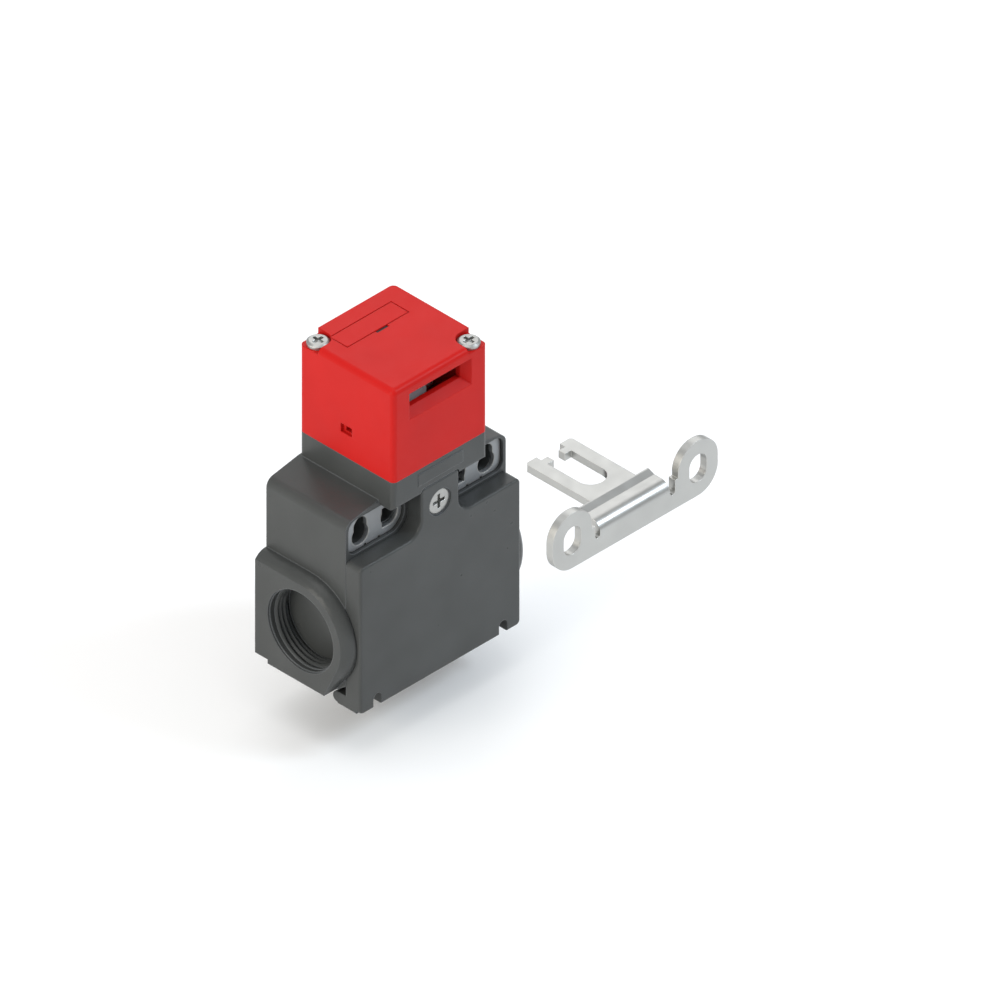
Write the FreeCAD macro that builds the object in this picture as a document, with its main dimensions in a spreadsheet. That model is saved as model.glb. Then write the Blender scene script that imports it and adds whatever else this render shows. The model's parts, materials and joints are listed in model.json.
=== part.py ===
import FreeCAD, Part
import math
import os
import re
import Sketcher

# Tongue interlock switch, a safety device for guards.  A key on the guard enters the head, turns a
# sprung rotor by its two hooks, and the rotor's cam lets a plunger work the contacts in the housing.
#
# Frame: +X to the right, -Y out of the front, +Z up.  The rear mounting plane is y = 0 and the
# switch is symmetric about x = 0.  Heights in this file count from the lowest edge of the cover;
# every sub-part is then placed hole_line lower, so that the origin lies on the rear plane, midway
# between the two fixing holes.

doc = FreeCAD.newDocument("TongueInterlockSwitch")
sheet = doc.addObject("Spreadsheet::Sheet", "Sizes")

SIZES = {
    # housing
    "body_width": 51.0, "case_depth": 30.0, "cover_depth": 4.7, "base_height": 3.3,
    "shoulder_height": 50.1, "saddle_height": 52.0, "shoulder_round": 2.4,
    "collar_width": 30.0, "collar_bottom": 50.9, "collar_top": 58.6, "collar_round": 1.3,
    "badge_half": 7.1, "badge_low": 54.0, "badge_high": 57.3, "badge_proud": 0.15,
    "relief_rise": 2.4, "relief_run": 3.3,
    "cavity_half": 21.5, "cavity_floor": 6.5, "cavity_roof": 38.5, "rear_wall": 2.5,
    "cavity_round": 1.5, "seat_gap": 0.15,
    # conduit bosses
    "boss_out": 3.6, "boss_tip_radius": 12.6, "boss_belly_radius": 13.9, "boss_belly_out": 0.6,
    "boss_root_radius": 14.4, "boss_foot": 22.0, "boss_heel": 4.0, "boss_heel_rise": 1.1,
    "bore_back": 14.5, "bore_height": 17.4, "bore_radius": 10.2, "bore_mouth": 10.45,
    "bore_mouth_depth": 0.5, "bore_depth": 6.6,
    # fixing holes and plates
    "hole_line": 45.4, "outer_spacing": 40.0, "outer_hole_width": 5.3, "outer_hole_length": 7.3,
    "inner_spacing": 21.6, "inner_hole_width": 4.3, "inner_hole_length": 5.3,
    "plate_inner": 6.9, "plate_outer": 24.5, "plate_low": 41.0, "plate_high": 50.0,
    "plate_thick": 1.2, "plate_recess": 0.9, "plate_round": 2.4,
    "plate_end_round": 4.4, "plate_notch": 0.7, "plate_hole_round": 2.65, "plate_hole_flat": 2.3, "plate_hole_drop": 0.9,
    "plate_neck_rise": 1.4, "plate_neck_width": 4.2, "plate_neck_length": 5.0,
    "notch_far": 18.4, "notch_near": 14.1,
    # cover
    "ledge_height": 40.1, "tab_half": 6.0, "tab_top": 52.5, "tab_scoop": 4.0, "tab_round": 1.0,
    "cover_edge": 0.6, "cover_wall": 2.2, "cover_corner": 1.2,
    "lip_height": 3.15, "lip_round": 1.45, "hinge_inset": 2.6, "hinge_height": 1.7,
    "notch_spacing": 40.0, "notch_width": 2.7, "notch_height": 3.6, "lug_width": 2.2,
    "lug_neck": 1.2, "hinge_pin_radius": 0.6, "hinge_pin_length": 6.2, "pin_gap": 0.08,
    "gasket_width": 1.4, "gasket_thick": 1.2, "gasket_edge": 0.7, "gasket_shift": 0.05,
    "screw_height": 46.3, "screw_head_radius": 3.2, "screw_pocket_radius": 3.5,
    "screw_pocket_depth": 0.5, "screw_head_depth": 1.6, "screw_radius": 1.5, "screw_end_gap": 0.4,
    "screw_swing_gap": 0.4, "retainer_radius": 2.6, "retainer_thick": 0.8,
    "insert_radius": 2.7, "insert_length": 5.0, "cross_arm": 1.9, "cross_width": 0.9,
    "cross_depth": 1.2,
    # head
    "head_width": 30.0, "head_height": 25.3, "head_corner": 1.3, "head_edge": 1.5,
    "head_side_wall": 5.8, "head_rear_wall": 1.8, "head_roof": 4.4,
    "recess_half": 9.9, "recess_low": 73.8, "recess_high": 81.0, "entry_wall": 2.0,
    "slot_half": 8.3, "slot_high": 3.0,
    "pocket_side": 6.0, "pocket_depth": 1.5, "pocket_round": 3.0, "head_screw_inset": 3.0,
    "head_screw_head_radius": 2.7, "head_screw_head_height": 1.2, "head_screw_radius": 1.45,
    "head_screw_depth": 7.0, "head_screw_gap": 0.15, "head_screw_dome": 0.4,
    "head_cross_arm": 1.5, "head_cross_depth": 0.8,
    "window_wide": 3.5, "window_high": 2.35, "window_low": 64.9, "window_front": 16.75,
    "window_depth": 0.8,
    # blanking plug in the top entry
    "plug_length": 19.3, "plug_width": 5.4, "plug_rear": 4.6, "plug_gap": 0.1, "plug_lid": 1.6,
    "plug_step": 0.35, "pry_length": 3.8, "pry_width": 0.6, "pry_depth": 1.4, "pry_offset": 0.9,
    # key
    "key_thick": 2.0, "tongue_height": 76.6, "key_away": 60.0, "ear_radius": 7.5,
    "key_length": 52.6, "ear_round": 6.3, "ear_inner_round": 6.0, "web_gap_half": 13.7, "key_hole_spacing": 40.0, "key_hole_width": 5.5,
    "key_hole_length": 7.5, "bend_relief": 0.8, "bend_radius": 0.8,
    "joggle_drop": 0.7, "joggle_start": 3.0, "joggle_run": 1.8,
    "shoulder_width": 22.2, "shoulder_reach": 5.15, "prong_outer": 7.25, "prong_reach": 25.75,
    "fork_half": 3.75, "fork_apex": 8.5, "hook_size": 2.0, "hook_behind_tip": 1.6,
    "tip_chamfer": 0.6,
    # mechanism in the head
    "rotor_back": 15.5, "hook_tip_lead": 2.6, "lock_stroke": 6.0, "rotor_radius": 6.5, "rotor_room": 2.0, "hook_arm": 5.5, "web_half": 1.5, "lobe_half": 3.5,
    "hub_radius": 4.2, "hub_half": 8.0, "hub_bore": 3.6, "hub_floor": 0.5, "notch_half": 1.75, "notch_floor": 4.2,
    "mouth_floor": 4.3, "axle_radius": 2.0, "axle_half": 10.6, "axle_gap": 0.08,
    "spring_wire": 0.25, "rotor_spring_radius": 2.85, "spring_end": 8.85, "spring_turns": 4.0,
    "cam_lift": 2.2, "cam_gap": 0.2, "cam_dwell": 30.0,
    "slide_half": 8.9, "slide_arm": 4.0, "slide_thick": 2.0, "slide_bridge": 1.2, "slide_length": 6.6,
    "slide_spring_radius": 1.6, "slide_spring_wire": 0.14,
    "slide_spring_turns": 5.0, "slide_spring_offset": 6.0,
    # plunger
    "stem_radius": 1.4, "stem_tip": 0.9, "stem_gap": 0.15, "plunger_bottom": 36.1, "flange_radius": 3.0,
    "flange_top": 56.2, "flange_thick": 1.2, "spring_well_radius": 3.6, "spring_well_floor": 50.0,
    "plunger_spring_radius": 2.5, "plunger_spring_wire": 0.25, "plunger_spring_turns": 4.0,
    "base_thick": 1.8, "base_hub_radius": 3.4, "base_hub_height": 1.6,
    "seal_radius": 2.8, "seal_height": 1.4, "seal_gap": 0.05,
    # contact block
    "block_half": 14.0, "block_low": 12.2, "block_high": 35.0, "ledge_thick": 1.0,
    "cheek_thick": 1.2, "cheek_low": 22.2, "cheek_high": 25.0, "cheek_front": 17.0,
    "tower_inner": 5.6, "tower_front": 18.2, "carriage_half": 2.4, "carriage_depth": 4.0,
    "carriage_low": 16.0, "carriage_top": 36.0, "carriage_gap": 0.3,
    "bridge_high": 26.2, "bridge_low": 19.0, "bridge_half": 8.6, "bridge_thick": 0.5,
    "bridge_width": 2.6, "pad_radius": 1.0, "pad_height": 0.4, "pad_spacing": 7.3,
    "strip_thick": 0.6, "strip_outer": 13.2, "contact_gap": 0.1,
    "terminal_spacing": 20.6, "terminal_rise": 2.6, "terminal_tall": 5.4, "terminal_plate": 1.0,
    "terminal_grip": 2.2, "leg_width": 2.4, "plate_width": 5.8, "driver_slot": 0.7,
    "clamp_size": 5.2, "clamp_thick": 1.0,
    "terminal_screw_radius": 1.4, "terminal_head_radius": 2.1, "terminal_head_height": 1.3,
    "terminal_screw_length": 4.0,
    "block_screw_radius": 1.3, "block_screw_head": 2.2, "block_screw_head_height": 1.6,
    "block_screw_offset": 9.0,
    "block_screw_height": 24.6, "carriage_spring_radius": 1.6, "carriage_spring_wire": 0.2,
    "block_post_radius": 2.6, "block_post_front": 5.0,
    "carriage_spring_turns": 4.0,
    "earth_x": 0.0, "earth_height": 9.1, "earth_post_radius": 2.9, "earth_post_front": 9.0,
    "earth_screw_radius": 1.6, "earth_head_radius": 2.5, "earth_head_height": 1.8,
}

for row, (alias, number) in enumerate(SIZES.items(), start=1):
    sheet.set("A%d" % row, alias)
    sheet.set("B%d" % row, "%g" % number)
    sheet.setAlias("B%d" % row, alias)
doc.recompute()

# lengths that follow from the sizes above
DERIVED = {
    "body_depth": "case_depth - cover_depth",
    "hinge_back": "body_depth - hinge_inset",
    "screw_length": "cover_depth - screw_pocket_depth + insert_length - screw_end_gap",
    "head_front_wall": "case_depth - rotor_back - rotor_radius - rotor_room",
    "recess_depth": "head_front_wall - entry_wall",
}


def size(alias):
    """The number that the sheet holds for one alias."""
    return float(sheet.get(alias))


def bound(formula):
    """The formula with every alias pointed at the sheet."""
    def cell(match):
        word = match.group(0)
        if word in DERIVED:
            return "(" + bound(DERIVED[word]) + ")"
        return "Sizes." + word if word in SIZES else word
    return re.sub(r"[a-z]+[a-z_]*", cell, formula)


def bind(item, **formulas):
    """Ties each named property to a formula of the sheet."""
    for prop, formula in formulas.items():
        item.setExpression(prop, bound(formula))
    return item


UP = FreeCAD.Rotation()
FORWARD = FreeCAD.Rotation(FreeCAD.Vector(1, 0, 0), 90)      # local +Z points to -Y
BACKWARD = FreeCAD.Rotation(FreeCAD.Vector(1, 0, 0), -90)    # local +Z points to +Y
RIGHTWARD = FreeCAD.Rotation(FreeCAD.Vector(0, 1, 0), 90)    # local +Z points to +X
LEFTWARD = FreeCAD.Rotation(FreeCAD.Vector(0, 1, 0), -90)    # local +Z points to -X


def place(item, x, y, z, turn=UP):
    """Puts an object's own origin at x, y, z, each a formula of the sheet."""
    item.Placement = FreeCAD.Placement(FreeCAD.Vector(), turn)
    for axis, formula in zip("xyz", (x, y, z)):
        item.setExpression("Placement.Base." + axis, bound(formula))
    return item


# ---------------------------------------------------------------- PartDesign helpers

def new_body(name):
    return doc.addObject("PartDesign::Body", name)


def sketch(body, name, role, offset="0"):
    """A sketch on one of the body's origin planes, moved along the plane's normal by a formula."""
    drawing = body.newObject("Sketcher::SketchObject", name)
    support = [plane for plane in body.Origin.OriginFeatures if plane.Role == role][0]
    drawing.AttachmentSupport = [(support, "")]
    drawing.MapMode = "FlatFace"
    drawing.setExpression("AttachmentOffset.Base.z", bound(offset))
    return drawing


def pin_point(drawing, geometry, point, across, along):
    """Holds one point of a sketch at two formulas, measured from the sketch's origin."""
    here = drawing.getPoint(geometry, point)
    for kind, formula, now in (("DistanceX", across, here.x), ("DistanceY", along, here.y)):
        index = drawing.addConstraint(Sketcher.Constraint(kind, -1, 1, geometry, point, now))
        drawing.setExpression("Constraints[%d]" % index, bound(formula))


def outline(drawing, corners):
    """A closed outline of straight runs; each corner is a pair of formulas."""
    count = len(corners)
    start = drawing.GeometryCount
    ring = [FreeCAD.Vector(math.cos(math.tau * k / count), math.sin(math.tau * k / count), 0)
            for k in range(count)]
    for k in range(count):
        drawing.addGeometry(Part.LineSegment(ring[k], ring[(k + 1) % count]), False)
    for k in range(count):
        following = start + (k + 1) % count
        drawing.addConstraint(Sketcher.Constraint("Coincident", start + k, 2, following, 1))
    for k, (across, along) in enumerate(corners):
        pin_point(drawing, start + k, 1, across, along)


def rectangle(drawing, left, low, right, high):
    outline(drawing, [(left, low), (right, low), (right, high), (left, high)])


def rounded_rectangle(drawing, left, low, right, high, radii):
    """A rectangle with arcs at its corners; radii run from low left, counter-clockwise."""
    side, turn = 10.0, 1.0
    corners = [(0, 0), (side, 0), (side, side), (0, side)]
    steps = [(1, 0), (0, 1), (-1, 0), (0, -1)]
    first = drawing.GeometryCount
    for k in range(4):
        (x0, y0), (x1, y1), (dx, dy) = corners[k], corners[(k + 1) % 4], steps[k]
        drawing.addGeometry(Part.LineSegment(FreeCAD.Vector(x0 + dx * turn, y0 + dy * turn, 0),
                                             FreeCAD.Vector(x1 - dx * turn, y1 - dy * turn, 0)))
    for k in range(4):
        x, y = corners[k]
        centre = FreeCAD.Vector(x + (turn if x == 0 else -turn), y + (turn if y == 0 else -turn))
        start = math.pi + k * math.pi / 2
        drawing.addGeometry(Part.ArcOfCircle(
            Part.Circle(centre, FreeCAD.Vector(0, 0, 1), turn), start, start + math.pi / 2))
    for k in range(4):
        line, arc, before = first + k, first + 4 + k, first + (k + 3) % 4
        drawing.addConstraint(Sketcher.Constraint("Tangent", before, 2, arc, 1))
        drawing.addConstraint(Sketcher.Constraint("Tangent", arc, 2, line, 1))
        index = drawing.addConstraint(Sketcher.Constraint("Radius", arc, turn))
        drawing.setExpression("Constraints[%d]" % index, bound(radii[k]))
        drawing.addConstraint(Sketcher.Constraint("Vertical" if k % 2 else "Horizontal", line))
    for line, kind, formula, now in ((first, "DistanceY", low, 0.0),
                                     (first + 1, "DistanceX", right, side),
                                     (first + 2, "DistanceY", high, side),
                                     (first + 3, "DistanceX", left, 0.0)):
        index = drawing.addConstraint(Sketcher.Constraint(kind, -1, 1, line, 1, now))
        drawing.setExpression("Constraints[%d]" % index, bound(formula))


def circle(drawing, across, along, radius):
    normal = FreeCAD.Vector(0, 0, 1)
    geometry = drawing.addGeometry(Part.Circle(FreeCAD.Vector(), normal, 1.0), False)
    pin_point(drawing, geometry, 3, across, along)
    index = drawing.addConstraint(Sketcher.Constraint("Radius", geometry, 1.0))
    drawing.setExpression("Constraints[%d]" % index, bound(radius))


def pad(body, drawing, length, back=False):
    feature = body.newObject("PartDesign::Pad", drawing.Name + "Pad")
    feature.Profile = drawing
    feature.Reversed = back
    return bind(feature, Length=length)


def pocket(body, drawing, length, back=False):
    feature = body.newObject("PartDesign::Pocket", drawing.Name + "Pocket")
    feature.Profile = drawing
    feature.Reversed = back
    return bind(feature, Length=length)


def primitive(body, kind, name, x, y, z, turn=UP, **sizes):
    """A PartDesign primitive such as AdditiveBox or SubtractiveCylinder, bound to the sheet."""
    feature = body.newObject("PartDesign::" + kind, name)
    bind(feature, **sizes)
    return place(feature, x, y, z, turn)


def edge_names(shape, wanted):
    """The names of the edges whose bounding box satisfies wanted(box)."""
    names = []
    for number, edge in enumerate(shape.Edges, start=1):
        if wanted(edge.BoundBox):
            names.append("Edge%d" % number)
    return names


def near(value, target, slack=0.02):
    return abs(value - target) < slack


def along_x(box):
    return box.YLength < 1e-4 and box.ZLength < 1e-4


def along_y(box):
    return box.XLength < 1e-4 and box.ZLength < 1e-4


def along_z(box):
    return box.XLength < 1e-4 and box.YLength < 1e-4


def round_edges(body, feature, name, radius, wanted, kind="Fillet"):
    """Fillets or chamfers the chosen edges of a feature."""
    doc.recompute()
    names = edge_names(feature.Shape, wanted)
    rounding = body.newObject("PartDesign::" + kind, name)
    rounding.Base = (feature, names)
    bind(rounding, **{"Radius" if kind == "Fillet" else "Size": radius})
    return rounding


# ---------------------------------------------------------------- Part helpers

def box(name, x, y, z, length, width, height):
    """A block from its low corner x, y, z, with its sizes along X, Y and Z."""
    block = doc.addObject("Part::Box", name)
    bind(block, Length=length, Width=width, Height=height)
    return place(block, x, y, z)


def rod(name, x, y, z, radius, height, turn=UP):
    cylinder = doc.addObject("Part::Cylinder", name)
    bind(cylinder, Radius=radius, Height=height)
    return place(cylinder, x, y, z, turn)


def cone(name, x, y, z, radius_low, radius_high, height, turn=UP):
    frustum = doc.addObject("Part::Cone", name)
    bind(frustum, Radius1=radius_low, Radius2=radius_high, Height=height)
    return place(frustum, x, y, z, turn)


def cut(name, base, tool):
    result = doc.addObject("Part::Cut", name)
    result.Base = base
    result.Tool = tool
    return result


def join(name, *pieces):
    result = doc.addObject("Part::MultiFuse", name)
    result.Shapes = list(pieces)
    return result


def cut_all(name, base, *tools):
    if len(tools) == 1:
        return cut(name, base, tools[0])
    return cut(name, base, join(name + "Tools", *tools))


def group(name, *pieces):
    """Separate solids that share one node."""
    result = doc.addObject("Part::Compound", name)
    result.Links = list(pieces)
    return result


def coil(name, radius, wire, pitch, turns):
    """A compression spring of square wire, swept along a helix about its own +Z."""
    helix = Part.makeHelix(pitch, pitch * turns, radius)
    corners = [FreeCAD.Vector(radius + across * wire, 0, along * wire)
               for across, along in ((-1, -1), (1, -1), (1, 1), (-1, 1), (-1, -1))]
    section = Part.makePolygon(corners)
    spring = doc.addObject("Part::Feature", name)
    spring.Shape = Part.Wire(helix).makePipeShell([section], True, True)
    return spring


NODES = []


def node(item, label):
    """Names a finished sub-part and drops it so that the origin lies on the fixing-hole line."""
    item.Label = label
    heights = [formula for prop, formula in item.ExpressionEngine
               if prop.lstrip(".") == "Placement.Base.z"]
    height = heights[0] if heights else "0"
    item.setExpression("Placement.Base.z", "%s - Sizes.hole_line" % height)
    NODES.append(item)
    return item


BORE_AXIS = ("-bore_back", "bore_height")


# ---------------------------------------------------------------- housing

def make_boss_sketch(body, name, offset, radius):
    """One section of the conduit boss: a foot on the rear plane, a round nose about the bore."""
    drawing = sketch(body, name, "YZ_Plane", offset)
    r = size(radius)
    centre = FreeCAD.Vector(-size("bore_back"), size("bore_height"), 0)
    top = centre.y + r
    low = size("base_height")
    foot = FreeCAD.Vector(-size("boss_foot"), low, 0)
    reach = centre.sub(foot)
    lean = math.atan2(reach.y, reach.x)
    open_angle = lean + math.pi - math.acos(r / reach.Length)
    open_angle = math.atan2(math.sin(open_angle), math.cos(open_angle)) + math.tau
    touch = centre.add(FreeCAD.Vector(math.cos(open_angle) * r, math.sin(open_angle) * r, 0))
    crown = FreeCAD.Vector(centre.x, top, 0)
    rear_top = FreeCAD.Vector(0, top, 0)
    rear_low = FreeCAD.Vector(0, low, 0)
    nose = Part.ArcOfCircle(Part.Circle(centre, FreeCAD.Vector(0, 0, 1), r),
                            math.pi / 2, open_angle)
    drawing.addGeometry(Part.LineSegment(rear_low, rear_top), False)
    drawing.addGeometry(Part.LineSegment(rear_top, crown), False)
    drawing.addGeometry(nose, False)
    drawing.addGeometry(Part.LineSegment(touch, foot), False)
    drawing.addGeometry(Part.LineSegment(foot, rear_low), False)
    for first, first_end, second, second_end in ((0, 2, 1, 1), (3, 2, 4, 1), (4, 2, 0, 1)):
        drawing.addConstraint(Sketcher.Constraint("Coincident", first, first_end,
                                                  second, second_end))
    drawing.addConstraint(Sketcher.Constraint("Tangent", 1, 2, 2, 1))
    drawing.addConstraint(Sketcher.Constraint("Tangent", 2, 2, 3, 1))
    pin_point(drawing, 2, 3, *BORE_AXIS)
    index = drawing.addConstraint(Sketcher.Constraint("Radius", 2, r))
    drawing.setExpression("Constraints[%d]" % index, bound(radius))
    drawing.addConstraint(Sketcher.Constraint("Horizontal", 1))
    drawing.addConstraint(Sketcher.Constraint("Vertical", 0))
    pin_point(drawing, 4, 1, "-boss_foot", "base_height")
    pin_point(drawing, 4, 2, "0", "base_height")
    return drawing


def add_boss(body, side, word):
    """The conduit boss of one side: a domed loft, the blind bore and the room beside the cover."""
    sign = "" if side > 0 else "-"
    wall = sign + "(body_width / 2)"
    face = sign + "(body_width / 2 + boss_out)"
    root = make_boss_sketch(body, word + "BossRoot", wall, "boss_root_radius")
    belly = make_boss_sketch(body, word + "BossBelly",
                             sign + "(body_width / 2 + boss_out * boss_belly_out)",
                             "boss_belly_radius")
    tip = make_boss_sketch(body, word + "BossTip", face, "boss_tip_radius")
    boss = body.newObject("PartDesign::AdditiveLoft", word + "Boss")
    boss.Profile = root
    boss.Sections = [belly, tip]
    outer = "body_width / 2 + boss_out"
    primitive(body, "SubtractiveBox", word + "BossHeel",
              "body_width / 2 + 0.001" if side > 0 else "-(" + outer + " + 1)",
              "-boss_heel", "base_height - 1", Length="boss_out + 1 - 0.001",
              Width="boss_heel + 1", Height="boss_heel_rise + 1")
    primitive(body, "SubtractiveBox", word + "CoverGap",
              "body_width / 2 - 0.5" if side > 0 else "-(body_width / 2 + seat_gap)",
              "-(case_depth + 1)", "base_height - 1", Length="0.5 + seat_gap",
              Width="case_depth + 1 - body_depth", Height="ledge_height")
    for name, radius, depth in (("Bore", "bore_radius", "bore_depth"),
                                ("Mouth", "bore_mouth", "bore_mouth_depth")):
        drawing = sketch(body, word + name, "YZ_Plane", face)
        circle(drawing, *BORE_AXIS, radius)
        pocket(body, drawing, depth, back=side < 0)


def plate_sketch(body, name, role, offset, side, gap):
    """The outline of a fixing plate: square at the outer end, round at the inner end."""
    drawing = sketch(body, name, role, offset)
    inner = "(plate_inner - %s)" % gap
    outer = "(plate_outer + %s)" % gap
    low = "plate_low - %s" % gap
    high = "plate_high + %s" % gap
    ends = "plate_end_round + %s" % gap
    corners = "plate_round + %s" % gap
    if side > 0:
        rounded_rectangle(drawing, inner, low, outer, high, [ends, corners, corners, ends])
    else:
        rounded_rectangle(drawing, "-" + outer, low, "-" + inner, high,
                          [corners, ends, ends, corners])
    return drawing


def slot_cut(body, name, x, height, width, length, upright, y, depth):
    """A slot through a wall from y towards +Y, with round ends."""
    run = "(%s - %s) / 2" % (length, width)
    for end, word in ((1, "A"), (-1, "B")):
        shift = "%+d * %s" % (end, run)
        primitive(body, "SubtractiveCylinder", name + word, x if upright else x + shift, y,
                  height + shift if upright else height, BACKWARD,
                  Radius=width + " / 2", Height=depth)
    if upright:
        primitive(body, "SubtractiveBox", name + "Middle", "%s - %s / 2" % (x, width), y,
                  "%s - %s" % (height, run), Length=width, Width=depth, Height="2 * " + run)
    else:
        primitive(body, "SubtractiveBox", name + "Middle", "%s - %s" % (x, run), y,
                  "%s - %s / 2" % (height, width), Length="2 * " + run, Width=depth,
                  Height=width)


def add_fixing_holes(body, side, word):
    """One side's pair of fixing holes through the case, and the seat of its metal plate."""
    seat = plate_sketch(body, word + "PlateSeat", "XZ_Plane", "body_depth", side, "seat_gap")
    pocket(body, seat, "plate_recess + plate_thick")
    slot_cut(body, word + "OuterHole", "outer_spacing / 2 * %d" % side, "hole_line",
             "outer_hole_width", "outer_hole_length", True, "-(body_depth + 1)", "body_depth + 2")
    slot_cut(body, word + "InnerHole", "inner_spacing / 2 * %d" % side, "hole_line",
             "inner_hole_width", "inner_hole_length", False, "-(body_depth + 1)",
             "body_depth + 2")


def add_hinge_lug(body, side, word):
    """A lug under the case that carries the cover's hinge pin in one of the cover's notches."""
    left = "notch_spacing / 2 * %d - lug_width / 2" % side
    primitive(body, "AdditiveCylinder", word + "LugEye", left, "-hinge_back", "hinge_height",
              RIGHTWARD, Radius="lip_round - seat_gap", Height="lug_width")
    primitive(body, "AdditiveBox", word + "LugNeck", left,
              "-(hinge_back + lip_round - seat_gap)", "hinge_height", Length="lug_width",
              Width="lip_round * 2 + lug_neck", Height="cavity_floor - hinge_height")
    primitive(body, "SubtractiveCylinder", word + "LugBore", left + " - 1", "-hinge_back",
              "hinge_height", RIGHTWARD, Radius="hinge_pin_radius + pin_gap",
              Height="lug_width + 2")


def head_screw_spot(side):
    """Where a head screw stands: front right for side 1, rear left for side -1."""
    if side > 0:
        return "head_width / 2 - head_screw_inset", "-(case_depth - head_screw_inset)"
    return "-(head_width / 2 - head_screw_inset)", "-head_screw_inset"


def make_housing():
    body = new_body("Housing")
    half = "body_width / 2"
    neck = "collar_width / 2"
    front = sketch(body, "CaseOutline", "XZ_Plane")
    outline(front, [("-" + half, "base_height"), (half, "base_height"), (half, "shoulder_height"),
                    (neck, "saddle_height"), (neck, "collar_top"), ("-" + neck, "collar_top"),
                    ("-" + neck, "saddle_height"), ("-" + half, "shoulder_height")])
    case = pad(body, front, "body_depth")
    shoulders = round_edges(body, case, "Shoulders", "shoulder_round", lambda b: along_y(b)
                            and near(abs(b.XMin), size("body_width") / 2)
                            and near(b.ZMin, size("shoulder_height")))
    collar = sketch(body, "CollarOutline", "XZ_Plane")
    rectangle(collar, "-" + neck, "collar_bottom", neck, "collar_top")
    collar_pad = pad(body, collar, "case_depth")
    collar_round = round_edges(body, collar_pad, "CollarCorners", "collar_round", lambda b: (
        along_z(b) and near(abs(b.XMin), size("collar_width") / 2)
        and near(b.YMin, -size("case_depth"))) or (
        along_x(b) and near(b.YMin, -size("case_depth")) and near(b.ZMin, size("collar_bottom"))))
    badge = sketch(body, "FrontPanel", "XZ_Plane", "case_depth")
    rectangle(badge, "-badge_half", "badge_low", "badge_half", "badge_high")
    pad(body, badge, "badge_proud")

    tab_seat = sketch(body, "TabSeat", "XZ_Plane", "case_depth + 1")
    reach = "(tab_half + seat_gap)"
    rounded_rectangle(tab_seat, "-" + reach, "shoulder_height - 1", reach, "tab_top + seat_gap",
                      ["tab_round + seat_gap"] * 4)
    pocket(body, tab_seat, "case_depth - body_depth + 1")

    relief = sketch(body, "HingeRelief", "YZ_Plane", "-body_width / 2")
    outline(relief, [("-body_depth", "base_height"), ("relief_run - body_depth", "base_height"),
                     ("-body_depth", "base_height + relief_rise")])
    relief_cut = pocket(body, relief, "body_width", back=True)

    for side, word in ((1, "Right"), (-1, "Left")):
        add_boss(body, side, word)

    cavity = sketch(body, "Cavity", "XZ_Plane", "body_depth")
    rectangle(cavity, "-cavity_half", "cavity_floor", "cavity_half", "cavity_roof")
    hollow = pocket(body, cavity, "body_depth - rear_wall")
    round_edges(body, hollow, "CavityCorners", "cavity_round", lambda b: along_y(b)
                and near(abs(b.XMin), size("cavity_half")) and b.YMax < -0.1)
    for side, word in ((1, "Right"), (-1, "Left")):
        add_fixing_holes(body, side, word)
        add_hinge_lug(body, side, word)
    primitive(body, "SubtractiveCylinder", "SpringWell", "0", "-rotor_back",
              "spring_well_floor", Radius="spring_well_radius",
              Height="collar_top - spring_well_floor + 1")
    primitive(body, "SubtractiveCylinder", "StemBore", "0", "-rotor_back", "cavity_roof - 1",
              Radius="stem_radius + stem_gap", Height="collar_top - cavity_roof")
    primitive(body, "SubtractiveCylinder", "SealSeat", "0", "-rotor_back", "cavity_roof - 1",
              Radius="seal_radius", Height="seal_height + 1")
    primitive(body, "SubtractiveCylinder", "InsertSeat", "0", "-(body_depth + 1)", "screw_height",
              BACKWARD, Radius="insert_radius", Height="insert_length + 1")
    for side, word in ((1, "Front"), (-1, "Rear")):
        primitive(body, "SubtractiveCylinder", word + "HeadScrewHole", *head_screw_spot(side),
                  "collar_top - head_screw_depth", Radius="head_screw_radius",
                  Height="head_screw_depth + 1")
    primitive(body, "AdditiveCylinder", "EarthPost", "earth_x", "-rear_wall", "earth_height",
              FORWARD, Radius="earth_post_radius", Height="earth_post_front - rear_wall")
    primitive(body, "SubtractiveCylinder", "EarthHole", "earth_x", "-(rear_wall + 1)",
              "earth_height", FORWARD, Radius="earth_screw_radius",
              Height="earth_post_front - rear_wall")
    for side, word in ((1, "Right"), (-1, "Left")):
        primitive(body, "AdditiveCylinder", word + "BlockPost",
                  "block_screw_offset * %d" % side, "-(rear_wall - 0.1)",
                  "block_screw_height", FORWARD, Radius="block_post_radius",
                  Height="block_post_front - rear_wall + 0.1")
        primitive(body, "SubtractiveCylinder", word + "BlockHole",
                  "block_screw_offset * %d" % side, "-rear_wall",
                  "block_screw_height", FORWARD, Radius="block_screw_radius",
                  Height="block_post_front")
    return body


# ---------------------------------------------------------------- fixing plates

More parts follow.
